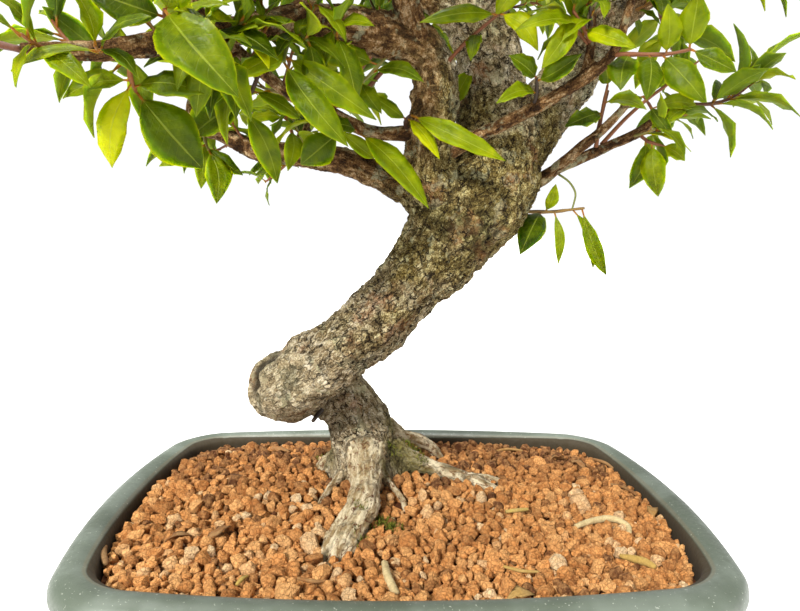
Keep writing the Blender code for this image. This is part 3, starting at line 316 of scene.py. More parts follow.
# The shoots that hang lowest: the stem's points, then each leaf as
# (place along the stem, tip, width). The stem's first point lies inside the branch it grows from.
LOW_SHOOTS = {
    "low_right": (
        [(50, 10, 205), (71, 12, 205), (80, 12, 206), (88, 12, 207)],
        [(0.5, (73, 9, 218), 6), (0.45, (53, -13, 187), 13), (0.62, (76, 10, 180), 5),
         (0.97, (101, 14, 174), 8), (0.85, (97, 20, 177), 7)],
    ),
    "under_b": (
        [(114, 16, 243), (118, 14, 239), (124, 11, 237)],
        [(0.6, (122, 8, 213), 12), (0.35, (111, 16, 217), 10), (1.0, (133, 6, 230), 9)],
    ),
    "over_b": (
        [(122, 18, 249), (118, 12, 254), (112, 8, 259)],
        [(0.6, (124, 0, 240), 7), (1.0, (99, 4, 250), 8), (0.9, (122, 4, 272), 9),
         (0.5, (140, 12, 256), 8)],
    ),
    "c_twig": (
        [(92, 12, 234), (91, 2, 250), (91, -4, 261)],
        [(0.6, (72, -8, 243), 10), (0.75, (106, -12, 250), 8), (1.0, (86, -12, 270), 8)],
    ),
    "cross_sprig": (
        [(53, -27, 247), (53, -31, 252), (52, -35, 257)],
        [(1.0, (40, -42, 264), 9), (0.5, (36, -40, 247), 7), (0.9, (66, -46, 264), 8)],
    ),
    "right_cluster": (
        [(81, -37, 266), (89, -43, 265), (98, -48, 264), (106, -52, 265)],
        [(0.25, (80, -52, 250), 12), (0.5, (89, -56, 246), 10), (0.65, (110, -58, 245), 12),
         (0.98, (106, -56, 284), 11), (0.7, (94, -58, 279), 9), (1.0, (121, -58, 256), 9)],
    ),
    "top_mid": (
        [(73, -35, 271), (68, -43, 274), (62, -48, 279)],
        [(0.6, (40, -54, 272), 9), (0.5, (82, -60, 264), 9), (0.8, (51, -48, 258), 9),
         (1.0, (64, -54, 298), 9)],
    ),
    "top_left_mid": (
        [(14, -16, 262), (24, -28, 272), (36, -36, 281)],
        [(0.98, (5, -48, 275), 8), (1.0, (50, -44, 266), 9), (0.65, (24, -44, 262), 7),
         (0.9, (44, -42, 299), 9)],
    ),
    "curve": (
        [(2, -13, 238), (0, -20, 241), (2, -27, 243)],
        [(1.0, (39, -42, 224), 9), (0.8, (14, -34, 226), 7), (0.7, (-14, -32, 250), 7)],
    ),
    "drop": (
        [(-21, -21, 239), (-19, -30, 235)],
        [(1.0, (9, -46, 206), 11), (0.7, (-34, -40, 236), 8)],
    ),
    "behind_stem": (
        [(14, -9, 248), (22, 4, 251)],
        [(1.0, (30, 2, 268), 10), (0.75, (18, 16, 238), 8)],
    ),
    "bright_pair": (
        [(-40, -54, 272), (-43, -66, 260), (-43, -75, 252)],
        [(1.0, (-21, -84, 224), 11), (0.85, (-12, -78, 234), 10), (0.6, (-58, -82, 246), 9)],
    ),
    "lit_leaf": (
        [(-2, -24, 274), (-11, -30, 262), (-18, -34, 254)],
        [(0.6, (-44, -38, 273), 15), (0.75, (6, -42, 254), 8), (1.0, (-10, -44, 241), 8)],
    ),
    "round_leaf": (
        [(-30, -29, 243), (-27, -31, 235)],
        [(1.0, (-43, -30, 222), 14), (0.8, (-12, -20, 226), 7)],
    ),
    "low_sprig": (
        [(-50, 20, 232), (-52, 12, 241), (-54, 6, 247)],
        [(0.9, (-70, -2, 244), 8), (0.6, (-52, 0, 222), 9), (1.0, (-62, 4, 264), 8),
         (0.95, (-38, -2, 248), 8)],
    ),
    "low_tip": (
        [(-97, 30, 244), (-95, 24, 237), (-92, 18, 232)],
        [(1.0, (-87, 12, 207), 13), (0.6, (-97, 22, 214), 8), (0.7, (-115, 16, 224), 8),
         (0.85, (-76, 18, 221), 8)],
    ),
    "low_end": (
        [(-99, 35, 267), (-97, 33, 277), (-99, 30, 284)],
        [(0.5, (-118, 22, 274), 8), (0.6, (-78, 26, 270), 8), (1.0, (-108, 22, 302), 9),
         (0.9, (-82, 24, 296), 8)],
    ),
    "mid_drop": (
        [(-54, -58, 253), (-57, -57, 246), (-61, -54, 240)],
        [(1.0, (-50, -46, 213), 10), (0.7, (-80, -62, 228), 16), (0.5, (-40, -48, 238), 8)],
    ),
    "near_big": (
        [(-76, -91, 254), (-74, -101, 257), (-72, -109, 258)],
        [(1.0, (-49, -123, 233), 18), (0.7, (-92, -114, 262), 12), (0.9, (-60, -122, 272), 12)],
    ),
    "near_low": (
        [(-86, -98, 250), (-88, -93, 243), (-88, -88, 239)],
        [(1.0, (-70, -78, 216), 18), (0.75, (-98, -86, 215), 10), (0.85, (-64, -94, 238), 9),
         (0.7, (-108, -96, 236), 8)],
    ),
    "left_end": (
        [(-68, -82, 265), (-71, -88, 272), (-74, -92, 278)],
        [(0.6, (-52, -94, 280), 10), (1.0, (-92, -96, 284), 10), (0.9, (-72, -84, 300), 9)],
    ),
}

# The shoots of the upper crown, grown by rule: (limb, place along it, heading, length)
CROWN_SHOOTS = [
    ("diagonal", 1.00, (0.1, -0.1, 1.0), 40), ("diagonal", 0.90, (-0.9, 0.8, 0.8), 50),
    ("right_limb", 1.00, (0.7, -0.1, 0.7), 46), ("right_limb", 0.78, (0.4, -0.9, 0.6), 50),
    ("left_stem", 1.00, (-0.9, -0.1, 0.2), 38), ("left_stem", 0.80, (-0.7, 0.3, 0.9), 50),
    ("upper_left", 1.00, (-1.0, -0.1, 0.1), 50), ("upper_left", 0.58, (-0.3, -0.9, 0.6), 52),
    ("upper_left", 0.74, (-0.5, 0.1, 1.0), 46),
    ("left_fan", 1.00, (-0.7, 0.8, 0.2), 48), ("left_drop", 1.00, (-0.9, 0.2, -0.3), 46),
    ("left_drop", 0.60, (-0.5, -0.9, 0.1), 50), ("left_drop", 0.85, (-0.4, 1.0, 0.1), 46),
    ("back_limb", 1.00, (-0.1, 0.9, 0.2), 42), ("back_limb", 0.62, (-0.6, 0.5, 0.9), 50),
    ("back_fan", 1.00, (0.6, 0.7, 0.1), 44), ("back_left", 1.00, (-0.8, 0.5, 0.1), 46),
    ("right_side", 1.00, (0.9, -0.4, 0.0), 42), ("right_side", 0.60, (0.4, 0.5, -0.6), 40),
    ("right_back", 1.00, (0.5, 0.8, 0.2), 44), ("right_b", 1.00, (0.9, -0.1, 0.1), 30),
    ("front_right", 1.00, (0.4, -0.9, 0.0), 46), ("front_right", 0.55, (0.8, -0.5, 0.3), 48),
    ("front_left", 1.00, (0.0, -0.9, 0.3), 42), ("front_left", 0.55, (-0.8, -0.1, 0.8), 48),
    ("top_left", 1.00, (-0.7, -0.7, 0.3), 48), ("top_right", 1.00, (0.9, -0.3, 0.3), 50),
    ("top_back", 1.00, (-0.2, 0.9, 0.1), 48), ("top_front", 1.00, (-0.1, -0.9, 0.2), 48),
    ("right_cross", 1.00, (0.7, -0.6, 0.3), 38), ("left_riser", 1.00, (-0.2, 0.3, 0.9), 34),
    ("top_right", 0.55, (0.2, 0.9, 0.7), 44),
]

# Bits lying on the soil: (x, y, height above the soil, radius), in millimetres
SOIL_BITS = {
    "fallen_twig": [
        (79, -27, 1.2, 1.2), (88, -22, 1.6, 1.4), (98, -19, 1.6, 1.5), (103, -25, 1.4, 1.2),
        (101, -33, 1.0, 1.1),
    ],
    "root_end": [(-7, -58, 0.8, 1.3), (-6, -68, 1.6, 1.6), (-3, -79, 1.0, 1.5)],
}

# Limbs that carry old bark and are skinned together with the roots; the others are branches
TRUNK_LIMBS = (
    "base_trunk", "diagonal", "right_limb", "left_stem", "root_front", "root_right", "root_fork",
    "root_back", "root_left", "root_mid", "root_backleft",
)

# Short leafy spurs that fill the crown: (limb, from and to along it, space between them)
SPURS = (
    ("left_stem", 0.52, 0.98, 6.5), ("left_low", 0.42, 0.98, 8.0), ("left_mid", 0.3, 0.98, 6.0),
    ("left_riser", 0.2, 0.98, 5.5), ("cross_up", 0.4, 0.98, 7.0), ("right_b", 0.62, 0.98, 9.0),
    ("upper_left", 0.2, 0.98, 7.5), ("left_fan", 0.1, 0.98, 8.0), ("left_drop", 0.1, 0.98, 7.0),
    ("back_limb", 0.35, 0.98, 7.5), ("back_fan", 0.1, 0.98, 7.0), ("back_left", 0.1, 0.98, 7.0),
    ("right_limb", 0.55, 0.98, 7.0), ("right_side", 0.2, 0.98, 6.5), ("right_back", 0.1, 0.98, 6.5),
    ("front_right", 0.35, 0.98, 7.5), ("front_left", 0.35, 0.98, 7.5), ("top_left", 0.2, 0.98, 6.5),
    ("top_right", 0.2, 0.98, 6.5), ("top_back", 0.2, 0.98, 6.5), ("top_front", 0.25, 0.98, 6.5),
    ("diagonal", 0.78, 0.99, 6.5),
)

# Moss beside the roots: (x, y, spread, leaves in the cushion)
MOSS = (
    (-37, 42, 5.0, 260), (-31, 46, 3.5, 120), (10, 64, 4.0, 160), (-8, -29, 4.0, 150),
    (-17, -42, 2.4, 50), (-2, -33, 3.0, 90), (-16, -30, 3.0, 90), (7, 27, 3.2, 44),
    (-1, 15, 3.0, 34), (12, 18, 2.6, 26), (-17, -46, 1.6, 16), (-33, 24, 3.0, 50),
)

# Small litter on the soil: (shade, points of x, y, rise above the soil, radius)
LITTER = (
    (0.5, ((90, -52, 1.2, 0.9), (94, -55, 1.6, 1.5), (98, -58, 1.8, 1.7), (101, -61, 1.2, 1.1))),
    (0.62, ((49, -18, 2.2, 0.8), (54, -17, 2.6, 1.0), (60, -14.5, 2.2, 0.8))),
    (0.12, ((-122, -45, 2.0, 1.0), (-120, -52, 2.6, 1.5), (-116, -59, 2.2, 1.2))),
    (0.55, ((-62, -75, 2.2, 0.6), (-60.5, -72, 2.8, 0.9), (-59, -69, 2.2, 0.5))),
    (0.25, ((115, 60, 1.6, 0.8), (119, 52, 2.4, 1.0), (121, 45, 1.8, 0.7))),
    (0.2, ((112, 22, 1.6, 0.7), (117, 16, 2.3, 0.8), (120, 8, 1.8, 0.6))),
    (0.4, ((60, 70, 1.6, 0.7), (68, 73, 2.2, 0.8), (76, 72, 1.8, 0.6))),
    (0.3, ((-40, -70, 1.8, 0.6), (-34, -73, 2.2, 0.7), (-29, -72, 1.8, 0.5))),
    (0.5, ((40, -62, 1.8, 0.6), (46, -66, 2.3, 0.7), (53, -66, 1.9, 0.5))),
)

# Dry leaves on the soil: (x, y, heading in degrees, length, shade)
DRY_LEAVES = (
    (-82, -44, 62, 17, 0.3), (-99, -41, 20, 11, 0.2), (104, 40, 110, 14, 0.3), (117, -20, 70, 13, 0.4),
    (98, 58, 200, 12, 0.35), (36, -86, 15, 12, 0.45), (-60, 60, 160, 13, 0.3), (20, 82, 170, 12, 0.35),
)

# Bare or nearly bare twigs: (shade, points of x, y, z, radius)
TWIGS = (
    (0.25, ((-0.5, -22, 266, 0.5), (-8, -24, 262, 0.9), (-14, -23, 256, 1.0), (-20.5, -21, 248, 1.1))),
    (0.55, ((-10.4, 26, 282.5, 0.5), (-18, 26, 275, 0.8), (-25.2, 25, 263.5, 0.9))),
    (0.3, ((90.7, 5, 243, 0.9), (91.5, 3, 250, 0.8), (93.6, 2, 260, 0.4))),
    (0.45, (
        (95, 13, 237, 1.0), (105, 10, 249, 0.9), (114.8, 8, 258.2, 0.8), (122, 6, 263.8, 0.7),
        (135, 2, 274.3, 0.4),
    )),
    (1.0, (
        (74, 9, 222.6, 0.55), (79, 8, 219, 0.5), (82.5, 9, 214, 0.5), (82.5, 11, 209, 0.45),
        (82, 12, 206.2, 0.4),
    )),
    (0.0, ((-37, 1, 110, 1.3), (-39, -3, 108, 1.1), (-40.5, -6, 106.5, 0.9))),
)


def unit(vectors):
    """Vectors scaled to length one."""
    return vectors / np.maximum(np.linalg.norm(vectors, axis=-1, keepdims=True), 1e-9)


def clamp(values):
    """Values kept from 0 to 1."""
    return np.clip(values, 0.0, 1.0)


def distances(points, centre):
    """How far each point is from one spot."""
    return np.linalg.norm(points - np.array(centre), axis=1)


def square_to(course, angle):
    """A direction square to a course, at an angle round it."""
    side = np.array(Vector(course).orthogonal().normalized())
    return side * math.cos(angle) + np.cross(course, side) * math.sin(angle)


def random_unit(rng, count):
    """A random row of this many values, scaled to length one."""
    return unit(np.array([rng.gauss(0, 1) for _ in range(count)]))


def smooth_curve(points, step):
    """A smooth curve through points of any number of values, with a sample about every step."""
    points = np.asarray(points, float)
    ends = np.vstack([points[:1], points, points[-1:]])
    samples = []
    for before, start, end, after in zip(ends, ends[1:], ends[2:], ends[3:]):
        count = max(1, round(float(np.linalg.norm((end - start)[:3])) / step))
        t = np.arange(count)[:, None] / count
        samples.append(0.5 * (
            2 * start + (end - before) * t + (2 * before - 5 * start + 4 * end - after) * t ** 2
            + (3 * start - before - 3 * end + after) * t ** 3
        ))
    return np.vstack(samples + [points[-1:]])


def arc_lengths(centres):
    """Distance along a curve to each of its samples."""
    steps = np.linalg.norm(np.diff(centres, axis=0), axis=1)
    return np.concatenate([[0.0], np.cumsum(steps)])


def frames_along(centres):
    """Direction and two crosswise directions at each sample, turning as little as they can."""
    last = len(centres) - 1
    tangents = unit(np.array([centres[min(i + 1, last)] - centres[max(i - 1, 0)] for i in range(last + 1)]))
    across = np.array(Vector(tangents[0]).orthogonal().normalized())
    sides = []
    for tangent in tangents:
        across = unit(across - tangent * across.dot(tangent))
        sides.append(across)
    sides = np.array(sides)
    return tangents, sides, np.cross(tangents, sides)


def along(curve, t):
    """Point and direction at the share t of a curve's length."""
    lengths = arc_lengths(curve)
    reach = t * lengths[-1]
    i = min(int(np.searchsorted(lengths, reach, side="right")) - 1, len(curve) - 2)
    i = max(i, 0)
    part = (reach - lengths[i]) / max(lengths[i + 1] - lengths[i], 1e-9)
    step = curve[i + 1] - curve[i]
    return curve[i] + step * part, unit(step)


def ring_faces(levels, size):
    """Faces that join rings of equal count, one after another."""
    faces = []
    for low in range(0, (levels - 1) * size, size):
        for k in range(size):
            j = (k + 1) % size
            faces.append((low + k, low + j, low + size + j, low + size + k))
    return faces


def sweep(samples, sides, lump=0.0, phase=0.0):
    """A closed skin round samples of (x, y, z, radius): its vertices and faces."""
    centres, radii = samples[:, :3], samples[:, 3]
    tangents, across, other = frames_along(centres)
    turns = arc_lengths(centres)[:, None] / 14.0
    angles = np.linspace(0.0, math.tau, sides, endpoint=False)[None, :]
    wave = np.sin(3 * angles + 0.9 * turns + phase) + 0.7 * np.sin(5 * angles - 1.7 * turns + 2 * phase)
    reach = radii[:, None] * (1.0 + lump * wave / 1.7)
    spokes = across[:, None] * np.cos(angles)[..., None] + other[:, None] * np.sin(angles)[..., None]
    rings = centres[:, None] + spokes * reach[..., None]
    count = len(centres)
    tip = centres[-1] + tangents[-1] * radii[-1] * 0.6
    verts = np.vstack([rings.reshape(-1, 3), centres[:1], tip[None]])
    faces = ring_faces(count, sides)
    start, end, top = count * sides, count * sides + 1, (count - 1) * sides
    for k in range(sides):
        j = (k + 1) % sides
        faces.append((j, k, start))
        faces.append((top + k, top + j, end))
    return verts, faces


def ring_skin(rings):
    """Rings of equal count joined into one closed skin with flat ends: vertices and faces."""
    size = len(rings[0])
    faces = ring_faces(len(rings), size)
    faces.append(tuple(reversed(range(size))))
    faces.append(tuple(range((len(rings) - 1) * size, len(rings) * size)))
    return np.vstack(rings), faces


def icosphere(subdivisions):
    """A sphere of radius one: its vertices and faces."""
    bm = bmesh.new()
    bmesh.ops.create_icosphere(bm, subdivisions=subdivisions, radius=1.0)
    verts = np.array([vert.co for vert in bm.verts])
    faces = [tuple(vert.index for vert in face.verts) for face in bm.faces]
    bm.free()
    return verts, faces


class Skin:
    """Vertices, faces and values gathered from many small shapes into one mesh."""

    def __init__(self):
        self.verts = []
        self.faces = []
        self.uvs = []
        self.values = {}
        self.count = 0

    def add(self, verts, faces, uvs=None, **values):
        """Add one shape; each value is a number for all of it or one for each vertex."""
        self.verts.append(verts)
        self.faces.extend([tuple(corner + self.count for corner in face) for face in faces])
        if uvs is not None:
            self.uvs.append(uvs)
        for key, value in values.items():
            self.values.setdefault(key, []).append(np.broadcast_to(value, (len(verts),)))
        self.count += len(verts)

    def build(self, name):
        """The gathered shapes as one object at the origin, in metres in the frame."""
        item = object_of(name, np.vstack(self.verts), self.faces)
        if self.uvs:
            layer = item.data.uv_layers.new(name="blade")
            layer.data.foreach_set("uv", np.concatenate(self.uvs).astype(np.float32).ravel())
        store_values(item.data, **{key: np.concatenate(value) for key, value in self.values.items()})
        return item


def object_of(name, verts, faces):
    """A new object with its place in its mesh, from millimetres round the pot's middle."""
    mesh = bpy.data.meshes.new(name)
    mesh.from_pydata((np.asarray(verts) * MM + SHIFT).tolist(), [], faces)
    mesh.update()
    item = bpy.data.objects.new(name, mesh)
    bpy.context.scene.collection.objects.link(item)
    return item


def read_rows(values, key, count):
    """Three numbers for each vertex, read from a mesh's own data."""
    flat = np.empty(count * 3, np.float32)
    values.foreach_get(key, flat)
    return flat.reshape(-1, 3).astype(float)


def points_of(mesh):
    """A mesh's vertices in millimetres round the pot's middle."""
    return (read_rows(mesh.vertices, "co", len(mesh.vertices)) - SHIFT) / MM


def push_out(mesh, points, reach):
    """Move a mesh's vertices, given in millimetres, out along their normals."""
    points = points + read_rows(mesh.vertex_normals, "vector", len(mesh.vertices)) * reach[:, None]
    mesh.vertices.foreach_set("co", (points * MM + SHIFT).astype(np.float32).ravel())
    mesh.update()


def store_values(mesh, **rows):
    """Keep one number for each vertex, or one vector, for the materials to read."""
    for name, values in rows.items():
        values = np.asarray(values, np.float32)
        kind, key = ("FLOAT", "value") if values.ndim == 1 else ("FLOAT_VECTOR", "vector")
        mesh.attributes.new(name, kind, "POINT").data.foreach_set(key, values.ravel())


def choose(item):
    """Make one object the only selected and the active one."""
    bpy.ops.object.select_all(action="DESELECT")
    item.select_set(True)
    bpy.context.view_layer.objects.active = item


def shape_with(item, kind, **settings):
    """Give an object one modifier and apply it."""
    choose(item)
    modifier = item.modifiers.new("shape", kind)
    for key, value in settings.items():
        setattr(modifier, key, value)
    bpy.ops.object.modifier_apply(modifier=modifier.name)


def cut_or_join(item, other, operation):
    """One Boolean of two closed objects; the second is then removed."""
    shape_with(item, "BOOLEAN", operation=operation, object=other, solver="MANIFOLD")
    bpy.data.objects.remove(other, do_unlink=True)


def finish_piece(item, mat, nodes=(), angle=None):
    """Give a piece its material, slot and body, smooth its shading, and hide the imported nodes it stands
    for.
    """
    item.data.materials.clear()
    item.data.materials.append(mat)
    choose(item)
    if angle is None:
        bpy.ops.object.shade_smooth()
    else:
        bpy.ops.object.shade_smooth_by_angle(angle=math.radians(angle))
    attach(item, "root")
    if nodes:
        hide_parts(*nodes)


def limb_skin(name):
    """One limb as a closed skin with rounded lumps."""
    points = LIMBS[name]
    widest = max(point[3] for point in points)
    sides = 40 if widest > 12 else 24 if widest > 6.5 else 14
    return sweep(smooth_curve(points, LIMB_STEP), sides, 0.06 if widest > 8 else 0.03, len(name) * 1.3)


def laid_straight(points, names):
    """Each point as it would lie on its nearest limb if that were straight, and the limb's radius."""
    rows = []
    for order, name in enumerate(names):
        samples = smooth_curve(LIMBS[name], AXIS_STEP)
        arcs = arc_lengths(samples[:, :3]) + AXIS_GAP * order
        rooted = np.full(len(samples), float(name.startswith("root")))
        rows.append(np.column_stack([samples, *frames_along(samples[:, :3]), arcs, rooted]))
    rows = np.vstack(rows)
    nearest = np.empty(len(points), int)
    for first in range(0, len(points), BLOCK):
        block = points[first:first + BLOCK, None]
        gaps = np.linalg.norm(block - rows[None, :, :3], axis=2) - rows[:, 3]
        nearest[first:first + BLOCK] = gaps.argmin(axis=1)
    row = rows[nearest]
    offset = points - row[:, :3]
    lengthwise = row[:, 13] + (offset * row[:, 4:7]).sum(axis=1)
    angle = np.arctan2((offset * row[:, 10:13]).sum(axis=1), (offset * row[:, 7:10]).sum(axis=1))
    radius = row[:, 3]
    places = np.column_stack([radius * np.cos(angle), radius * np.sin(angle), lengthwise])
    return places, radius, row[:, 14]


def ramp(value, low, high):
    """A smooth step from 0 at low to 1 at high."""
    t = min(1.0, max(0.0, (value - low) / (high - low)))
    return t * t * (3.0 - 2.0 * t)


def past(values, band):
    """How far values lie past a band's start, as a share of its width."""
    start, width = band
    return (values - start) / width


def cell_pattern(place, tone):
    """A cell pattern at a place: how far it is from the nearest seam, and its cell's own shade."""
    gaps, centres = noise.voronoi(place)
    return ramp(gaps[1] - gaps[0], 0.0, 0.3), 0.5 + 0.5 * noise.noise(centres[0] * tone)


def bark_at(place, radius, rooted):
    """Relief of the bark in millimetres, how far a spot is out of a crack, and its plate's shade."""
    point = Vector(place)
    age = ramp(radius, YOUNG_RADIUS, OLD_RADIUS) * (1.0 - 0.5 * rooted)
    bend = noise.noise_vector(point * 0.16) * 2.2 + noise.noise_vector(point * 0.5) * 0.9
    laid = Vector((point.x, point.y, point.z * 0.6)) + bend
    seam, shade = cell_pattern(laid / PLATE, 7.3)
    flake_seam, flake_shade = cell_pattern(laid / FLAKE + Vector((3.1, 7.7, 1.9)), 5.1)
    ridge = noise.noise(Vector((point.x * 0.8, point.y * 0.8, point.z * 0.12)) + bend * 0.2)
    swell = noise.noise(point * 0.055) * 2.0 + noise.noise(point * 0.14) * 1.2
    rough = noise.noise(point * 0.45) * 0.35 + noise.noise(point * 0.9) * 0.2
    plates = 0.6 * seam + 1.5 * shade + 0.35 * flake_seam + 0.8 * flake_shade + rough - 1.6
    relief = age * (plates + swell) + (1.0 - age) * (0.12 * radius * ridge)
    if rooted:
        relief += 0.10 * radius * ridge + 0.25 * swell
    # clear is low in the plates' seams; the bark is painted dark there, partly as the cracks' own colour and
    # partly as painted shade in them
    clear = (0.35 + 0.65 * seam) * (0.6 + 0.4 * flake_seam)
    return relief, clear, 0.55 * shade + 0.45 * flake_shade


def knob_groove(points):
    """The healed wound's rolled lip on the knob: its relief, and the crack behind it."""
    facing = unit(np.array(KNOB_FACING))
    offset = points - np.array(KNOB_FACE)
    deep = offset @ facing
    offset = offset - np.outer(deep, facing)
    away = np.linalg.norm(offset, axis=1)
    held = (away < 26.0) * (deep > -36.0) * (points[:, 0] < -38.0)
    reach = clamp((unit(offset) @ unit(np.array(KNOB_LIP)) - 0.35) / 0.5) * held
    wander = 0.9 * np.sin(points[:, 2] * 0.55)
    crack = np.exp(-((away - WOUND_CRACK - wander) / 1.3) ** 2) * reach ** 2
    lip = np.exp(-((away - WOUND_LIP - wander) / 1.7) ** 2) * reach
    ring = np.exp(-((away - WOUND_RING) / 2.4) ** 2) * held
    return 1.2 * lip - 2.2 * crack + 0.5 * ring, crack


def burr(points):
    """A rugged swelling below the trunk's fork: its folds, the painted shade of their hollows, and its reach.
    """
    near = np.exp(-(distances(points, BURR) / BURR_REACH) ** 2)
    folds = np.array([1.0 - abs(noise.noise(Vector(point) * 0.17)) * 3.4 for point in points])
    return near * (1.6 + 3.4 * folds), near * clamp(0.6 - folds), near


def skin_wood(name, limbs, voxel, extras=()):
    """Limbs grown into one skin by remeshing, with bark relief in the mesh."""
    gathered = Skin()
    for verts, faces in (*(limb_skin(limb) for limb in limbs), *extras):
        gathered.add(verts, faces)
    item = gathered.build(name)
    shape_with(item, "REMESH", mode="VOXEL", voxel_size=voxel * MM, adaptivity=0.0)
    shape_with(item, "SMOOTH", factor=0.5, iterations=3)
    points = points_of(item.data)
    x, z = points[:, 0], points[:, 2]
    places, radii, rooted = laid_straight(points, limbs)
    relief, clear, plate = np.array([bark_at(*row) for row in zip(places, radii, rooted)]).T
    grown, crack = knob_groove(points)
    # the burr's second value darkens the bark in its fold valleys: painted shade in the hollows
    folds, painted_hollow_shade, knotty = burr(points)
    worn = clamp(-past(x, WORN_BAND)) * (z > WORN_HEIGHTS[0]) * (z < WORN_HEIGHTS[1])
    push_out(item.data, points, relief * (1.0 - 0.3 * worn) + (grown + folds))
    left = clamp(-past(x, LEFT_BAND))
    bare = clamp(past(z, BARE_BAND)) * (1.0 - left)
    climb = past((points - np.array(KNOB_CENTRE)) @ np.array(CLIMB_COURSE), CLIMB_BAND)
    ruddy = left * clamp(past(z, RUDDY_BAND))
    mossy = np.zeros(len(points))
    for *centre, reach in MOSSY_SPOTS:
        mossy = np.maximum(mossy, np.exp(-((distances(points, centre) / reach) ** 4)))
    # clear darkens the bark in seams, in the wound's crack and in the burr's hollows: partly the cracks' own
    # colour, partly painted shade
    store_values(
        item.data, laid=places, plate=plate, worn=worn, mossy=mossy, knotty=knotty,
        clear=np.maximum(clear, 0.7 * worn) * (1.0 - crack) ** 2 * (1.0 - painted_hollow_shade),
        climb=clamp(climb) * (1.0 - 0.75 * bare),
        girth=clamp((radii - 2.0) / 12.0) * (1.0 - 0.6 * ruddy),
        rooted=np.maximum(rooted, clamp(-past(z, FOOT_BAND)) * 0.7),
    )
    return item


def knob_skin():
    """The blunt knob where the trunk folds back: a slightly lumpy ellipsoid, which gets the rolled rings
    round its old wound with the bark.
    """
    verts, faces = icosphere(5)
    x, y, z = verts.T
    lump = 1.0 + 0.03 * np.sin(5 * x + 2) * np.sin(6 * y) + 0.03 * np.sin(7 * z + 3 * x)
    return np.array(KNOB_CENTRE) + verts * (np.array(KNOB_RADII) * lump[:, None]), faces


def make_wood():
    """Trunk with roots, and branches, in place of the wood node."""
    bark = bark_material()
    branches = [name for name in LIMBS if name not in TRUNK_LIMBS]
    for name, limbs, voxel, extras in (
        ("trunk_and_roots", TRUNK_LIMBS, TRUNK_VOXEL, [knob_skin()]),
        ("branches", branches, BRANCH_VOXEL, ()),
    ):
        finish_piece(skin_wood(name, limbs, voxel, extras), bark, ["wood"])


def pot_outline(inset, z):
    """One horizontal outline of the pot, inset from its widest outline."""
    half = np.array((POT_LENGTH, POT_DEPTH)) / 2.0 - inset
    corner = max(POT_CORNER - CORNER_SHRINK * inset, LEAST_CORNER)
    signs = np.array(((1, 1), (-1, 1), (-1, -1), (1, -1)))
    points = []
    for turn, sign in enumerate(signs):
        for step in range(CORNER_STEPS + 1):
            angle = math.radians(90.0 * turn + 90.0 * step / CORNER_STEPS)
            arm = corner * np.array((math.cos(angle), math.sin(angle)))
            points.append(sign * (half - corner) + arm)
        start, end = points[-1], signs[(turn + 1) % 4] * (half - corner) + arm
        for step in range(1, SIDE_STEPS):
            points.append(start + (end - start) * (step / SIDE_STEPS))
    points = np.array(points)
    bow = np.array((SIDE_BOW, END_BOW)) / half * (points[:, ::-1] / half[::-1]) ** 2
    return np.column_stack([points * (1.0 - bow), np.full(len(points), z)])


def rounded(profile, reach, steps):
    """A profile with each of its inner corners turned into a short curve."""
    profile = np.asarray(profile, float)
    points = [profile[:1]]
    for before, corner, after in zip(profile, profile[1:], profile[2:]):
        near = min(reach, 0.48 * np.linalg.norm(before - corner))
        far = min(reach, 0.48 * np.linalg.norm(after - corner))
        start = corner + unit(before - corner) * near
        end = corner + unit(after - corner) * far
        t = np.linspace(0.0, 1.0, steps)[:, None]
        points.append((1 - t) ** 2 * start + 2 * t * (1 - t) * corner + t ** 2 * end)
    return np.vstack(points + [profile[-1:]])


def foot_skin(turn):
    """One angled foot that follows a corner of the pot's underside."""
    per_turn = CORNER_STEPS + SIDE_STEPS
    reach = round(SIDE_STEPS * FOOT_SHARE)
    rings = []
    for z, out, back in FOOT_RINGS:
        outer, inner = pot_outline(out, z), pot_outline(back, z)
        span = [(turn * per_turn + i) % len(outer) for i in range(-reach, CORNER_STEPS + reach + 1)]
        rings.append(np.vstack([outer[span], inner[span[::-1]]]))
    return ring_skin(rings)


def make_pot():
    """The tray pot with rolled lip, corner feet and drain holes, in place of the pot node."""
    top = POT_HEIGHT
    outside = [
        (18.0, FLOOR_UNDER), (14.5, FLOOR_UNDER + 3.0), (6.5, top - 15.0), (1.2, top - 12.6),
        (0.0, top - 9.0), (0.5, top - 4.6), (2.4, top - 1.6), (6.5, top), (10.6, top - 0.6),
        (13.2, top - 2.2),
    ]
    inside = [
        (LIP_WIDTH, top - 4.0), (LIP_WIDTH + 0.6, top - 14.0), (LIP_WIDTH + 3.5, FLOOR_TOP + 7.0),
        (LIP_WIDTH + 8.0, FLOOR_TOP),
    ]
    profile = rounded(outside + inside, 1.6, 4)
    pot = object_of("glazed_pot", *ring_skin([pot_outline(inset, z) for inset, z in profile]))
    for turn in range(4):
        cut_or_join(pot, object_of("foot", *foot_skin(turn)), "UNION")
    for side in (-1, 1):
        centre = np.array((side * DRAIN_X, 0.0, FLOOR_TOP)) * MM + SHIFT
        bpy.ops.mesh.primitive_cylinder_add(
            vertices=48, radius=DRAIN_RADIUS * MM, depth=DRAIN_DEPTH * MM, location=centre
        )
        cut_or_join(pot, bpy.context.object, "DIFFERENCE")
    shape_with(pot, "TRIANGULATE")
    store_values(pot.data, inner=inner_wall(points_of(pot.data)))
    finish_piece(pot, glaze_material(), ["pot"], angle=40)


def inner_wall(points):
    """0 on the pot's outside, rising to 1 over the lip's inner edge, by the distance from its outline."""
    outline = pot_outline(0.0, 0.0)[:, :2]
    gaps = np.linalg.norm(points[:, None, :2] - outline[None], axis=2).min(axis=1)
    z = points[:, 2]
    below = (gaps > 9.5 + 0.182 * (55.0 - z)) * (z > FLOOR_UNDER + 0.5)
    return np.where(z > 52.0, clamp((gaps - 10.0) / 5.0), below)


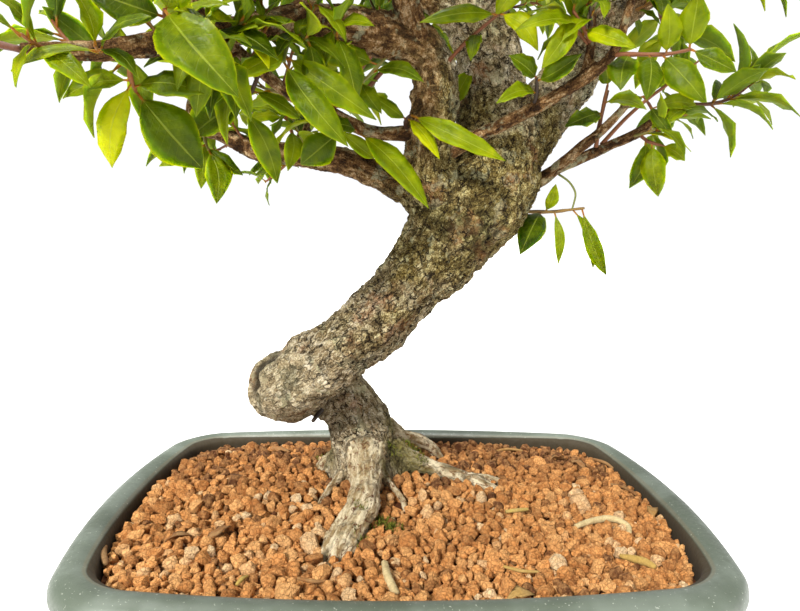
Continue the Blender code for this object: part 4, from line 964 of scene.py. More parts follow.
def soil_height(x, y):
    """Height of the soil's general surface."""
    across = ((x - MOUND_CENTRE[0]) / MOUND_SPREAD[0]) ** 2
    lengthwise = ((y - MOUND_CENTRE[1]) / MOUND_SPREAD[1]) ** 2
    return SOIL_EDGE_Z + SOIL_MOUND * np.exp(-across - lengthwise)


def on_soil(rows):
    """Rows of (x, y, rise, radius) with the height itself in the place of the rise above the soil."""
    return [(x, y, float(soil_height(x, y)) + rise, radius) for x, y, rise, radius in rows]


def make_bed():
    """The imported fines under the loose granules: closed, and lower than the granules' tops."""
    rings = [pot_outline(inset, z) for inset, z in BED_RINGS]
    edge = pot_outline(LIP_WIDTH + 0.9, 0.0)
    for share in np.linspace(1.0, 0.02, BED_STEPS):
        ring = edge * share
        ring[:, 2] = soil_height(ring[:, 0], ring[:, 1]) - BED_DROP
        rings.append(ring)
    verts, faces = ring_skin(rings)
    rough = np.array([noise.noise(Vector(vert) * 0.35) for vert in verts])
    verts[:, 2] += np.where(verts[:, 2] > 57.0, 0.9 * rough, 0.0)
    bed = object_of("packed_fines", verts, faces)
    store_values(bed.data, tint=[0.5 + 0.5 * noise.noise(Vector(vert) * 0.5) for vert in verts])
    finish_piece(bed, clay_material("packed_fines", FINES_SHADES), ["soil"])


def granule_shape(rng):
    """One angular crumb of about unit size, from an icosphere flattened by many cuts."""
    verts, faces = icosphere(2)
    for _ in range(9):
        cut = random_unit(rng, 3)
        depth = rng.uniform(0.52, 0.88)
        verts = verts - np.outer(np.maximum(verts @ cut - depth, 0.0), cut)
    verts = verts * np.array([rng.uniform(0.85, 1.25), rng.uniform(0.85, 1.15), rng.uniform(0.7, 1.0)])
    shift = rng.uniform(0, 50)
    lump = np.array([noise.noise(Vector(vert) * 1.9 + Vector((shift, 0, 0))) for vert in verts])
    return verts * (1.08 + 0.3 * lump)[:, None], faces


def turned(rng):
    """A random turn, as a matrix."""
    w, x, y, z = random_unit(rng, 4)
    return np.array([
        [1 - 2 * (y * y + z * z), 2 * (x * y - z * w), 2 * (x * z + y * w)],
        [2 * (x * y + z * w), 1 - 2 * (x * x + z * z), 2 * (y * z - x * w)],
        [2 * (x * z - y * w), 2 * (y * z + x * w), 1 - 2 * (x * x + y * y)],
    ])


def scattered(rng, wall):
    """Places and sizes of the top granules: the largest first, smaller ones in the gaps they leave."""
    placed, cells = [], {}
    for smallest, largest, tries in GRANULE_SIZES:
        for _ in range(tries):
            x = rng.uniform(-0.5, 0.5) * (POT_LENGTH - 2 * LIP_WIDTH)
            y = rng.uniform(-0.5, 0.5) * (POT_DEPTH - 2 * LIP_WIDTH)
            size = rng.uniform(smallest, largest)
            column, row = int(x // CELL_SIZE), int(y // CELL_SIZE)
            near = [spot for i in range(-2, 3) for j in range(-2, 3)
                    for spot in cells.get((column + i, row + j), ())]
            if any((x - u) ** 2 + (y - v) ** 2 < (PACKING * (size + r)) ** 2 for u, v, r in near):
                continue
            if inside_wall(x, y, size, wall):
                cells.setdefault((column, row), []).append((x, y, size))
                placed.append((x, y, size))
    return placed


def make_granules():
    """Loose baked-clay granules over the bed, kept clear of the roots and inside the pot's wall."""
    clay = clay_material("fired_clay", GRANULE_SHADES)
    rng = random.Random(GRANULE_SEED)
    shapes = [granule_shape(rng) for _ in range(GRANULE_SHAPES)]
    wall = pot_outline(LIP_WIDTH + 0.7, 0.0)[::3, :2]
    top = [(x, y, size, 0.25 * size - 0.4) for x, y, size in scattered(rng, wall)]
    under = []
    for row in range(-20, 21):
        for column in range(-28, 29):
            x = (column + 0.5 * (row % 2)) * UNDER_SPACING + rng.uniform(-1.2, 1.2)
            y = row * UNDER_SPACING * 0.866 + rng.uniform(-1.2, 1.2)
            size = rng.uniform(*UNDER_SIZES)
            if inside_wall(x, y, size, wall):
                under.append((x, y, size, UNDER_RISE))
    for name, spots in (("top_granules", top), ("under_granules", under)):
        skin = Skin()
        for x, y, size, rise in spots:
            shape = rng.randrange(GRANULE_SHAPES)
            turn = turned(rng)
            # painted shade: granules towards the back are made darker, standing in for the crown's shadow
            painted_shade = BACK_PAINTED_SHADE * min(1.0, max(0.0, y / PAINTED_SHADE_DEPTH))
            tint = min(1.0, max(0.0, rng.gauss(0.5, 0.2) - painted_shade))
            if name == "top_granules" and rng.random() < ODD_SHARE:
                tint = rng.choice(ODD_SHADES)
            place = np.array((x, y, float(soil_height(x, y)) + rise + rng.uniform(-0.7, 0.7)))
            if near_wood(place, size):
                continue
            place[2] = min(place[2], under_bits(x, y, size))
            verts, faces = shapes[shape]
            skin.add(verts @ turn.T * size + place, faces, tint=tint)
        finish_piece(skin.build(name), clay, ["soil"], angle=38)


def inside_wall(x, y, size, wall):
    """Whether a granule of this size lies inside the pot's inner wall."""
    ahead = np.roll(wall, -1, axis=0) - wall
    offset = np.array((x, y)) - wall
    inward = ahead[:, 0] * offset[:, 1] - ahead[:, 1] * offset[:, 0]
    return bool((inward / np.linalg.norm(ahead, axis=1) > size * WALL_CLEARANCE).all())


def under_bits(x, y, size):
    """The height that a granule's middle stays below, so that what lies on the soil shows."""
    lowest = 1e9
    for points in [*SOIL_BITS.values(), *(rows for _, rows in LITTER)]:
        for (u, v, rise, radius), after in zip(points, points[1:]):
            for part in (0.0, 0.33, 0.67, 1.0):
                gap = math.hypot(x - u - (after[0] - u) * part, y - v - (after[1] - v) * part)
                if gap < 0.8 * size + radius:
                    lowest = min(lowest, float(soil_height(x, y)) + rise - radius * 0.4 - 0.9 * size)
    return lowest


def near_wood(place, size):
    """Whether a granule would lie in or on the wood."""
    centre = Vector((place * MM + SHIFT).tolist())
    hit, normal, _, gap = WOOD_TREE.find_nearest(centre)
    if hit is None:
        return False
    inside = (centre - hit).dot(normal) < 0.0
    above = place[2] > (hit.z / MM) - 0.4 * size
    return inside or (gap < 0.55 * size * MM and above)


def leaf_outline(share):
    """Half width of a blade at each share of its length: widest before the middle, long pointed."""
    return share ** 0.85 * (1.0 - share) ** 1.0 / 0.2905


def add_leaf(skin, stem, leaf, rows, rng, tint, toward=None):
    """One leaf with its stalk: a thin closed blade, folded along its midrib, arched and waved."""
    t, tip, width = leaf
    place, course = along(stem, t)
    span = float(np.linalg.norm(tip - place))
    aim = (tip - place) / span
    face = UP * 0.8 + course * 0.6 if toward is None else unit(np.array(toward) - place) * 0.8 + UP * 0.4
    face = face - aim * face.dot(aim)
    if np.linalg.norm(face) < 0.2:
        face = np.array(Vector(aim).orthogonal())
    face = unit(face)
    roll = rng.uniform(-LEAF_ROLL, LEAF_ROLL)
    side = np.cross(aim, face)
    face, side = face * math.cos(roll) + side * math.sin(roll), side * math.cos(roll) - face * math.sin(roll)
    share = np.array(rows)
    blade = clamp((share - STALK_SHARE) / (1.0 - STALK_SHARE))
    half = np.maximum(width / 2.0 * leaf_outline(blade), 0.42 - 0.3 * share)
    sway = rng.uniform(-LEAF_SWAY, LEAF_SWAY)
    droop = rng.uniform(*LEAF_DROOP)
    middle = place + np.outer(share, aim) * span
    middle += np.outer(BLADE_ARCH * np.sin(math.pi * share) - droop * share ** 3, face) * span
    middle += np.outer(sway * np.sin(math.pi * share), side) * span
    fold = rng.uniform(*FOLD_RANGE) * BLADE_FOLD
    curl = rng.uniform(*LEAF_CURL)
    wave_height = rng.uniform(*WAVE_HEIGHT)
    wave_count = rng.uniform(*WAVE_COUNT)
    wave_start = rng.uniform(0, 6)
    columns = LEAF_COLUMNS
    wave = wave_height * np.sin(wave_count * math.tau * share[:, None] + wave_start + 1.7 * np.sign(columns))
    lift = half[:, None] * (fold * np.abs(columns) + curl * columns ** 2)
    lift = lift + wave * columns ** 2 * np.minimum(half[:, None] / 3.0, 1.0)
    notch = 1.0 + 0.06 * np.sin(share[:, None] * rng.uniform(7.0, 13.0) + wave_start + 2.4 * columns)
    reach = half[:, None] * columns * np.where(np.abs(columns) > 0.9, notch, 1.0)
    upper = middle[:, None] + side * reach[..., None] + face * lift[..., None]
    depth = LEAF_THICKNESS + 0.5 * clamp(1.0 - share / STALK_SHARE)
    lower = upper[:, 1:4] - face * (depth[:, None] * np.array((0.8, 1.35, 0.8)))[..., None]
    verts = np.vstack([upper.reshape(-1, 3), lower.reshape(-1, 3)])
    skin.add(verts, *blade_faces(share), tint=tint)


def blade_faces(share):
    """The faces of a blade of two layers, and their places along and across it in the blade layer."""
    count = len(share)
    top = np.arange(count * 5).reshape(count, 5)
    under = np.column_stack([top[:, 0], np.arange(count * 3).reshape(count, 3) + count * 5, top[:, 4]])
    across = (LEAF_COLUMNS + 1.0) / 2.0
    faces, uvs = [], []
    for i in range(count - 1):
        low, high = share[i], share[i + 1]
        for k in range(4):
            left, right = across[k], across[k + 1]
            faces.append((top[i, k], top[i, k + 1], top[i + 1, k + 1], top[i + 1, k]))
            uvs += [(low, left), (low, right), (high, right), (high, left)]
            left, right = 1.0 + left, 1.0 + right
            faces.append((under[i, k], under[i + 1, k], under[i + 1, k + 1], under[i, k + 1]))
            uvs += [(low, left), (high, left), (high, right), (low, right)]
    for row, turn in ((0, 1), (count - 1, -1)):
        loop = list(top[row]) + list(under[row, 3:0:-1])
        faces.append(tuple(loop[::-turn]))
        uvs += [(share[row], 0.5)] * len(loop)
    return [tuple(int(corner) for corner in face) for face in faces], np.array(uvs)


def grow_shoot(rng, start, bark, heading, length):
    """A shoot by rule, as the solids have it: its stem, and leaves in whorls along it."""
    stem = [start]
    course = unit(heading)
    for part in range(4):
        wander = np.array([rng.uniform(-0.18, 0.18) for _ in range(3)])
        course = unit(course + UP * 0.1 + wander)
        stem.append(stem[-1] + course * (length / 4.0 + (0.0 if part else bark)))
    stem = np.array(stem)
    leaves = []
    twist = rng.uniform(0.0, math.tau)
    for t, count in WHORLS:
        twist += 1.1
        place, course = along(stem, t)
        for member in range(count):
            outward = square_to(course, twist + math.tau * member / count)
            aim = unit(course * 0.6 + outward + UP * rng.uniform(-0.35, 0.1))
            size = rng.uniform(*LEAF_LENGTH)
            leaves.append((t, place + aim * size, size * rng.uniform(0.33, 0.4)))
    place, course = along(stem, 1.0)
    size = rng.uniform(*LEAF_LENGTH)
    aim = unit(course + UP * rng.uniform(-0.3, 0.2))
    leaves.append((1.0, place + aim * size, size * 0.36))
    return stem, leaves


def add_stem(skin, stem, thick, thin, rng):
    """A shoot's own stem, a little swollen at even steps along it."""
    radii = np.linspace(thick, thin, len(stem))
    curve = smooth_curve(np.column_stack([stem, radii]), 3.0)
    curve[:, 3] *= 1.0 + 0.12 * np.sin(np.arange(len(curve)) * 1.9 + rng.uniform(0, 6))
    skin.add(*sweep(curve, 6), tint=rng.random())
    return curve[:, :3]


def tuft_leaves(rng, stem, count, reach):
    """Leaves in a loose tuft along a short stem."""
    leaves = []
    twist = rng.uniform(0.0, math.tau)
    for member in range(count):
        t = 0.35 + 0.65 * member / max(count - 1, 1)
        place, course = along(stem, t)
        twist += 2.4
        outward = square_to(course, twist)
        aim = unit(course * rng.uniform(0.3, 1.1) + outward + UP * rng.uniform(-0.35, 0.2))
        size = rng.uniform(*reach)
        leaves.append((t, place + aim * size, size * rng.uniform(0.32, 0.42)))
    return leaves


def in_reach(point):
    """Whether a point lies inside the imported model's box."""
    place = np.asarray(point) * MM + SHIFT
    return bool((place > CAD_LOW - 0.004).all() and (place < CAD_HIGH + 0.004).all())


def add_low_shoots(stems, low, rng):
    """The shoots placed from their listed points; the nodes they stand for."""
    for points, leaves in LOW_SHOOTS.values():
        stem = add_stem(stems, np.array(points, float), SHOOT_RADIUS, TIP_RADIUS, rng)
        for t, tip, width in leaves:
            leaf = (t, np.array(tip, float), width)
            add_leaf(low, stem, leaf, FINE_ROWS, rng, rng.gauss(0.56, 0.16), CAMERA_PLACE)
    return ["shoot_" + name for name in LOW_SHOOTS]


def add_crown_shoots(stems, crown, own):
    """The shoots that grow by rule, each as its solid has it but with more leaves; their nodes."""
    rng = random.Random(CROWN_SEED)
    nodes, counts = [], {}
    for limb, place, heading, length in CROWN_SHOOTS:
        samples = smooth_curve(LIMBS[limb], 8.0)
        nearest = samples[round(place * (len(samples) - 1))]
        counts[limb] = counts.get(limb, 0) + 1
        nodes.append("shoot_%s_%d" % (limb, counts[limb]))
        points, leaves = grow_shoot(rng, nearest[:3], nearest[3], np.array(heading, float), length)
        stem = add_stem(stems, points, SHOOT_RADIUS, TIP_RADIUS, own)
        for leaf in leaves + tuft_leaves(own, stem, TUFT_LEAVES, TUFT_LENGTH):
            if in_reach(leaf[1]):
                add_leaf(crown, stem, leaf, PLAIN_ROWS, own, own.gauss(0.5, 0.2))
    return nodes


def add_spurs(stems, spurs, rng):
    """Short leafy spurs along the branches, between the shoots."""
    for limb, first, last, spacing in SPURS:
        samples = smooth_curve(LIMBS[limb], 2.0)
        length = arc_lengths(samples[:, :3])[-1]
        for t in np.arange(first, last, spacing / length):
            place, course = along(samples, t)
            heading = unit(course[:3])
            outward = square_to(heading, rng.uniform(0.0, math.tau))
            aim = unit(outward + heading * 0.5 + UP * 0.35)
            reach = place[3] + rng.uniform(*SPUR_REACH)
            points = np.array([place[:3], place[:3] + aim * reach * 0.55, place[:3] + aim * reach + UP * 1.2])
            leaves = tuft_leaves(rng, points, rng.choice(SPUR_LEAVES), SPUR_LENGTH)
            if not all(in_reach(leaf[1]) for leaf in leaves):
                continue
            stem = add_stem(stems, points, *SPUR_RADII, rng)
            for leaf in leaves:
                add_leaf(spurs, stem, leaf, PLAIN_ROWS, rng, rng.gauss(0.48, 0.2))


def make_foliage():
    """All leafy shoots: the low ones from listed points, the crown's by rule, and spurs between them."""
    stems, low, crown, spurs = Skin(), Skin(), Skin(), Skin()
    rng = random.Random(FOLIAGE_SEED)
    low_nodes = add_low_shoots(stems, low, rng)
    crown_nodes = add_crown_shoots(stems, crown, rng)
    add_spurs(stems, spurs, rng)
    leaf = leaf_material()
    finish_piece(low.build("low_leaves"), leaf, low_nodes)
    finish_piece(crown.build("crown_leaves"), leaf, crown_nodes)
    finish_piece(spurs.build("spur_leaves"), leaf)
    finish_piece(stems.build("leafy_stems"), stem_material(), low_nodes + crown_nodes)


def rgb(red, green, blue):
    """A colour as it shows on screen, from 0 to 255, for a shader's socket."""
    shares = [value / 255.0 for value in (red, green, blue)]
    linear = [v / 12.92 if v <= 0.04045 else ((v + 0.055) / 1.055) ** 2.4 for v in shares]
    return (*linear, 1.0)


class Value:
    """A node's output, which a formula can add, multiply and mix like a number or a colour."""

    def __init__(self, nodes, socket):
        self.nodes = nodes
        self.socket = socket

    def other(self, output):
        """Another output of the same node."""
        return Value(self.nodes, self.socket.node.outputs[output])

    def maths(self, operation, *others):
        """One Math node's output."""
        return self.nodes.add("Math", (self, *others), operation=operation)

    def __add__(self, other):
        return self.maths("ADD", other)

    def __sub__(self, other):
        return self.maths("SUBTRACT", other)

    def __mul__(self, other):
        return self.maths("MULTIPLY", other)

    def __abs__(self):
        return self.maths("ABSOLUTE")

    def larger(self, other):
        """The larger of two values."""
        return self.maths("MAXIMUM", other)

    def ramp(self, low, high, to_low=0.0, to_high=1.0):
        """The value's range from low to high laid on another, smoothly and clamped."""
        return self.nodes.add("MapRange", (self, low, high, to_low, to_high), interpolation_type="SMOOTHSTEP")

    def colours(self, *stops):
        """Colours along the value: (place, colour) pairs."""
        coloured = self.nodes.add("ValToRGB", (self,))
        ends = coloured.socket.node.color_ramp.elements
        ends[0].position, ends[0].color = stops[0]
        ends[1].position, ends[1].color = stops[-1]
        for place, colour in stops[1:-1]:
            ends.new(place).color = colour
        return coloured

    def mixed(self, other, factor, kind="MIX"):
        """A colour mixed with another one as far as the factor says."""
        return self.nodes.mix(self, other, factor, kind)

    def layered(self, *layers):
        """A colour with others laid over it, one after another: (colour, mask) pairs."""
        colour = self
        for other, mask in layers:
            colour = colour.mixed(other, mask)
        return colour


class Nodes:
    """A node tree that is built up in calls, each of which gives a Value."""

    def __init__(self, tree):
        self.tree = tree

    def put(self, socket, given):
        """Set a node's input, or link it if a Value is given."""
        if isinstance(given, Value):
            self.tree.links.new(given.socket, socket)
        elif given is not None:
            socket.default_value = given

    def add(self, kind, inputs=(), output=0, **settings):
        """A new node with these inputs, by name or in order: one of its outputs."""
        node = self.tree.nodes.new("ShaderNode" + kind)
        for key, setting in settings.items():
            setattr(node, key, setting)
        for key, given in inputs.items() if isinstance(inputs, dict) else enumerate(inputs):
            self.put(node.inputs[key], given)
        return Value(self, node.outputs[output])

    def place(self):
        """Object coordinates."""
        return self.add("TexCoord", output="Object")

    def attribute(self, name, output="Fac"):
        """One of the values kept in the mesh."""
        return self.add("Attribute", output=output, attribute_name=name)

    def mix(self, first, second, factor, kind="MIX"):
        """One colour mixed with another."""
        return self.add("Mix", {0: factor, 6: first, 7: second}, 2, data_type="RGBA", blend_type=kind)

    def grain(self, vector, scale, detail=3.0, roughness=0.55, output=0):
        """Noise of a size, in features to the vector's unit."""
        inputs = {"Vector": vector, "Scale": scale, "Detail": detail, "Roughness": roughness}
        return self.add("TexNoise", inputs, output)

    def cells(self, vector, scale, feature="F1", output="Distance"):
        """A cell pattern, in cells to the vector's unit."""
        return self.add("TexVoronoi", {"Vector": vector, "Scale": scale}, output, feature=feature)

    def bent(self, vector, scale, reach, squeeze=(1.0, 1.0, 1.0)):
        """A vector bent by noise, so that cell patterns lose their straight sides."""
        wander = self.grain(vector, scale, 2.0, 0.5, "Color")
        wander = self.add("VectorMath", (wander, (0.5, 0.5, 0.5)), operation="SUBTRACT")
        wander = self.add("VectorMath", {0: wander, "Scale": reach}, operation="SCALE")
        moved = self.add("VectorMath", (vector, wander), operation="ADD")
        return self.add("VectorMath", (moved, squeeze), operation="MULTIPLY")

    def mottle(self, vector, patch_scale, grit_scale):
        """The shared effect of patches and fine grit: both, and their height."""
        patches = self.add("Group", (), "Patches", node_tree=mottle_group())
        for socket, given in zip(patches.socket.node.inputs, (vector, patch_scale, grit_scale)):
            self.put(socket, given)
        return patches, patches.other("Grit"), patches.other("Height")


def mottle_group():
    """Shared effect: patches, fine grit and their height, for bark, clay, glaze and dry wood."""
    group = bpy.data.node_groups.get("mottle")
    if group:
        return group
    group = bpy.data.node_groups.new("mottle", "ShaderNodeTree")
    group.interface.new_socket("Vector", in_out="INPUT", socket_type="NodeSocketVector")
    for name in ("Patch Scale", "Grit Scale"):
        group.interface.new_socket(name, in_out="INPUT", socket_type="NodeSocketFloat")
    for name in ("Patches", "Grit", "Height"):
        group.interface.new_socket(name, in_out="OUTPUT", socket_type="NodeSocketFloat")
    nodes = Nodes(group)
    vector, patch_scale, grit_scale = (
        Value(nodes, socket) for socket in group.nodes.new("NodeGroupInput").outputs[:3]
    )
    patches = nodes.grain(vector, patch_scale)
    grit = nodes.grain(vector, grit_scale, 4.0, 0.65)
    result = group.nodes.new("NodeGroupOutput")
    nodes.put(result.inputs["Patches"], patches.ramp(0.36, 0.64))
    nodes.put(result.inputs["Grit"], grit.ramp(0.32, 0.68))
    nodes.put(result.inputs["Height"], patches * 0.4 + grit)
    return group


class Finish(Nodes):
    """A procedural material with one Principled shader."""

    def __init__(self, name, **settings):
        self.material = bpy.data.materials.new(name)
        self.material.use_nodes = True
        super().__init__(self.material.node_tree)
        self.set(**settings)

    def set(self, **settings):
        """Set or link the shader's inputs, and give the material."""
        shader = self.tree.nodes["Principled BSDF"]
        for key, given in settings.items():
            self.put(shader.inputs[key.replace("_", " ")], given)
        return self.material

    def bump(self, height, strength, distance, normal=None):
        """A bumped normal; distance is in metres."""
        inputs = {"Strength": strength, "Distance": distance, "Height": height, "Normal": normal}
        return self.add("Bump", inputs)


def bark_material():
    """Flaky, finely cracked bark: pale on knob and roots, olive above, red-brown on branches."""
    bark = Finish("flaky_bark", Roughness=0.9, Specular_IOR_Level=0.12)
    here, laid = bark.place(), bark.attribute("laid", "Vector")
    plate, clear, girth, rooted = (bark.attribute(name) for name in ("plate", "clear", "girth", "rooted"))
    climb, mossy, knotty, worn = (bark.attribute(name) for name in ("climb", "mossy", "knotty", "worn"))
    patches, grit, height = bark.mottle(here, 50.0, 900.0)
    fine_patches, fine_grit, fine_height = bark.mottle(laid, 0.3, 1.6)
    bent = bark.bent(laid, 0.45, 3.4, (1.0, 1.0, 0.6))
    drawn = bark.bent(laid, 0.3, 3.0, (1.0, 1.0, 0.22))
    flake = bark.add("SeparateColor", (bark.cells(bent, 0.62, output="Color"),))
    strand = bark.grain(drawn, 0.42).ramp(0.35, 0.65)

    shade = plate * 0.45 + flake * 0.3 + fine_grit * 0.32
    pale = shade.colours(
        (0.2, rgb(72, 58, 38)), (0.4, rgb(146, 126, 92)), (0.6, rgb(202, 184, 148)), (0.8, rgb(240, 228, 200))
    )
    olive = shade.colours(
        (0.2, rgb(36, 26, 11)), (0.4, rgb(94, 76, 36)), (0.6, rgb(150, 130, 74)), (0.8, rgb(212, 198, 138))
    )
    red = (shade * 0.6 + strand * 0.36).colours(
        (0.2, rgb(40, 24, 12)), (0.4, rgb(92, 62, 34)), (0.6, rgb(146, 108, 66)), (0.8, rgb(212, 182, 138))
    )
    wood = pale.mixed(olive, (climb + patches * 0.5).ramp(0.25, 1.1))
    rust = bark.grain(here, 60.0, 3.0, 0.6).ramp(0.55, 0.66)
    lichen = bark.grain(here, 120.0, 4.0, 0.65).ramp(0.55, 0.64)
    greyed = bark.grain(here, 90.0, 4.0, 0.6).ramp(0.56, 0.66)
    fissure = bark.cells(drawn, 0.33, "DISTANCE_TO_EDGE").ramp(0.0, 0.07, 1.0, 0.0)
    root = bark.mix(rgb(150, 124, 86), rgb(248, 234, 200), strand).layered(
        (rgb(160, 140, 96), patches * 0.3), (rgb(108, 102, 78), greyed * 0.6),
        (rgb(104, 56, 32), fissure * fine_patches.ramp(0.2, 0.8)),
    )
    fibres = bark.grain(drawn, 1.4, 4.0, 0.65).ramp(0.3, 0.7)
    flank = bark.mix(rgb(58, 50, 24), rgb(150, 140, 84), fibres).mixed(rgb(86, 92, 30), grit * 0.45)
    dusky = bark.grain(here, 130.0, 4.0, 0.65).ramp(0.5, 0.62)
    wood = wood.layered(
        (rgb(158, 98, 62), rust * 0.55), (red, girth.ramp(0.55, 0.12)), (rgb(190, 190, 150), lichen * 0.5),
        (root, rooted * 0.9), (flank, mossy * 0.85), (rgb(84, 88, 58), knotty * patches * 0.8),
        (rgb(196, 188, 156), worn * 0.1), (rgb(92, 92, 68), dusky * worn * 0.55),
    )

    # The cracks are painted near-black: partly their own colour, partly painted shade in the crevices
    here_or_not = fine_patches.ramp(0.1, 0.7, 0.25, 1.0)
    crack = bark.cells(bent, 0.25, "DISTANCE_TO_EDGE").ramp(0.0, 0.09, 1.0, 0.0) * here_or_not
    thin = bark.cells(bent, 0.62, "DISTANCE_TO_EDGE").ramp(0.0, 0.1, 0.7, 0.0) * here_or_not
    gap = crack.larger(thin) * rooted.ramp(0.3, 1.0, 1.0, 0.12) * worn.ramp(0.0, 1.0, 1.0, 0.6)
    gap = (gap * girth.ramp(0.1, 0.6, 0.4, 1.0)).larger(clear.ramp(0.0, 0.5, 0.9, 0.0))
    wood = wood.mixed(rgb(30, 21, 12), gap)
    relief = (fine_height + flake.other("Green") * 0.35 - gap * 1.1) * rooted.ramp(0.3, 1.0, 1.0, 0.55)
    ridges = bark.bump(relief, 1.0, 0.0018)
    return bark.set(Base_Color=wood, Normal=bark.bump(height, 0.5, 0.0007, ridges))


def clay_material(name, shades):
    """Dry baked clay, matt, gritty and finely cracked, in a colour that each crumb keeps for itself."""
    clay = Finish(name, Roughness=0.97, Specular_IOR_Level=0.15)
    here = clay.place()
    patches, grit, height = clay.mottle(here, 340.0, 1150.0)
    crack = clay.cells(clay.bent(here, 500.0, 0.0016), 520.0, "DISTANCE_TO_EDGE").ramp(0.0, 0.09, 1.0, 0.0)
    stops = [(place, rgb(*shade)) for place, shade in zip(SHADE_PLACES, shades)]
    colour = clay.attribute("tint").colours(*stops)
    colour = colour.mixed(rgb(*shades[3]), patches * 0.4)
    colour = colour.mixed(rgb(150, 104, 72), grit * 0.4, "MULTIPLY")
    colour = colour.mixed(rgb(110, 64, 38), crack * 0.25)
    return clay.set(Base_Color=colour, Normal=clay.bump(height - crack * 0.3, 1.0, 0.0015))


def glaze_material():
    """Grey-green glaze, thin and tan on the inner edge, and bare brown clay inside and underneath; inside,
    the clay is painted much darker, partly as painted shade under the rim.
    """
    glaze = Finish("sage_glaze", Roughness=0.3, Specular_IOR_Level=0.5)
    here, inner = glaze.place(), glaze.attribute("inner")
    height = glaze.add("SeparateXYZ", (here,), "Z")
    patches, grit, relief = glaze.mottle(here, 38.0, 420.0)
    specks = glaze.grain(here, 900.0, 2.0).ramp(0.66, 0.74)
    bare = height.ramp(0.0135, 0.0115)
    line = inner.ramp(0.35, 0.5) * inner.ramp(0.75, 0.6)
    # inside: the inner wall's bare clay, painted very dark, partly its own colour and partly painted shade
    # under the rim
    inside = inner.ramp(0.62, 0.8)
    colour = glaze.mix(rgb(80, 89, 76), rgb(102, 111, 100), patches).layered(
        (rgb(206, 208, 196), specks * 0.5), (rgb(96, 98, 82), height.ramp(0.050, 0.058, 0.6, 0.0)),
        (rgb(126, 98, 70), bare), (rgb(112, 94, 64), line * 0.3), (rgb(52, 43, 25), inside),
    )
    rough = grit * 0.16 + 0.36 + inside.larger(bare) * 0.42
    return glaze.set(Base_Color=colour, Roughness=rough, Normal=glaze.bump(relief, 0.25, 0.0004))


def leaf_material():
    """Thin glossy leaf that lets light through, with a fine midrib and faint side veins."""
    leaf = Finish(
        "glossy_leaf", Specular_IOR_Level=0.1, Subsurface_Weight=0.85, Subsurface_Scale=0.0006,
        Subsurface_Radius=(0.75, 1.0, 0.06),
    )
    here = leaf.place()
    length = leaf.add("SeparateXYZ", (leaf.add("UVMap", uv_map="blade"),))
    width = length.other("Y")
    under = width.ramp(1.0, 1.001)
    across = abs(width - under - 0.5) * 2.0
    tone = leaf.grain(here, 150.0)
    green = (leaf.attribute("tint") + (tone - 0.5) * 0.7).colours(
        (0.12, rgb(38, 54, 0)), (0.40, rgb(76, 92, 0)), (0.66, rgb(114, 126, 0)), (0.95, rgb(166, 168, 2))
    )
    midrib = across.ramp(0.07, 0.02)
    stripe = abs((length * 11.0 - across * 1.6).maths("FRACT") - 0.5)
    veins = stripe.ramp(0.42, 0.5) * across.ramp(0.95, 0.5)
    green = green.layered(
        (rgb(140, 150, 20), veins * 0.1), (rgb(160, 170, 60), midrib * 0.35),
        (rgb(104, 130, 40), under * 0.35), (rgb(140, 150, 20), across.ramp(0.82, 1.0) * 0.12),
        (rgb(150, 84, 36), length.ramp(0.14, 0.07) * 0.8),
    )
    rough = tone * 0.3 + under * 0.25 + 0.27
    pucker = leaf.grain(here, 420.0, 2.0)
    height = veins * -0.2 + midrib * -0.8 + (tone * 3.0 + pucker)
    return leaf.set(Base_Color=green, Roughness=rough, Normal=leaf.bump(height, 0.5, 0.0006))


def stem_material():
    """Young stems, green to reddish brown."""
    stem = Finish("young_stem", Roughness=0.55, Specular_IOR_Level=0.35)
    _, grit, height = stem.mottle(stem.place(), 300.0, 1800.0)
    colour = stem.attribute("tint").colours(
        (0.0, rgb(44, 32, 20)), (0.25, rgb(96, 52, 28)), (0.6, rgb(138, 84, 42)), (0.95, rgb(112, 118, 52))
    )
    colour = colour.mixed(rgb(90, 60, 40), grit * 0.3, "MULTIPLY")
    return stem.set(Base_Color=colour, Normal=stem.bump(height, 0.5, 0.0003))


def dry_material():
    """Dry wood and leaf litter, from brown to pale cream."""
    dry = Finish("bleached_wood", Roughness=0.85, Specular_IOR_Level=0.25)
    patches, grit, height = dry.mottle(dry.place(), 240.0, 1200.0)
    colour = dry.attribute("tint").colours(
        (0.0, rgb(96, 66, 40)), (0.35, rgb(150, 104, 60)), (0.6, rgb(190, 166, 86)), (0.9, rgb(214, 196, 152))
    )
    colour = colour.mixed(rgb(168, 140, 96), patches * 0.4)
    colour = colour.mixed(rgb(110, 88, 60), grit * 0.3, "MULTIPLY")
    return dry.set(Base_Color=colour, Normal=dry.bump(height, 0.7, 0.0006))


def moss_material():
    """Moss, from olive to yellow-green."""
    moss = Finish("moss", Roughness=0.8, Specular_IOR_Level=0.2)
    patches, _, height = moss.mottle(moss.place(), 300.0, 1500.0)
    colour = moss.mix(rgb(70, 84, 24), rgb(138, 142, 48), moss.attribute("tint"))
    colour = colour.mixed(rgb(92, 88, 36), patches * 0.4)
    return moss.set(Base_Color=colour, Normal=moss.bump(height, 0.4, 0.0003))


def screen_material():
    """Dark moulded plastic."""
    screen = Finish("moulded_screen", Roughness=0.6, Specular_IOR_Level=0.4)
    patches, _, height = screen.mottle(screen.place(), 200.0, 1400.0)
    colour = screen.mix(rgb(20, 20, 21), rgb(34, 33, 32), patches)
    return screen.set(Base_Color=colour, Normal=screen.bump(height, 0.3, 0.0003))


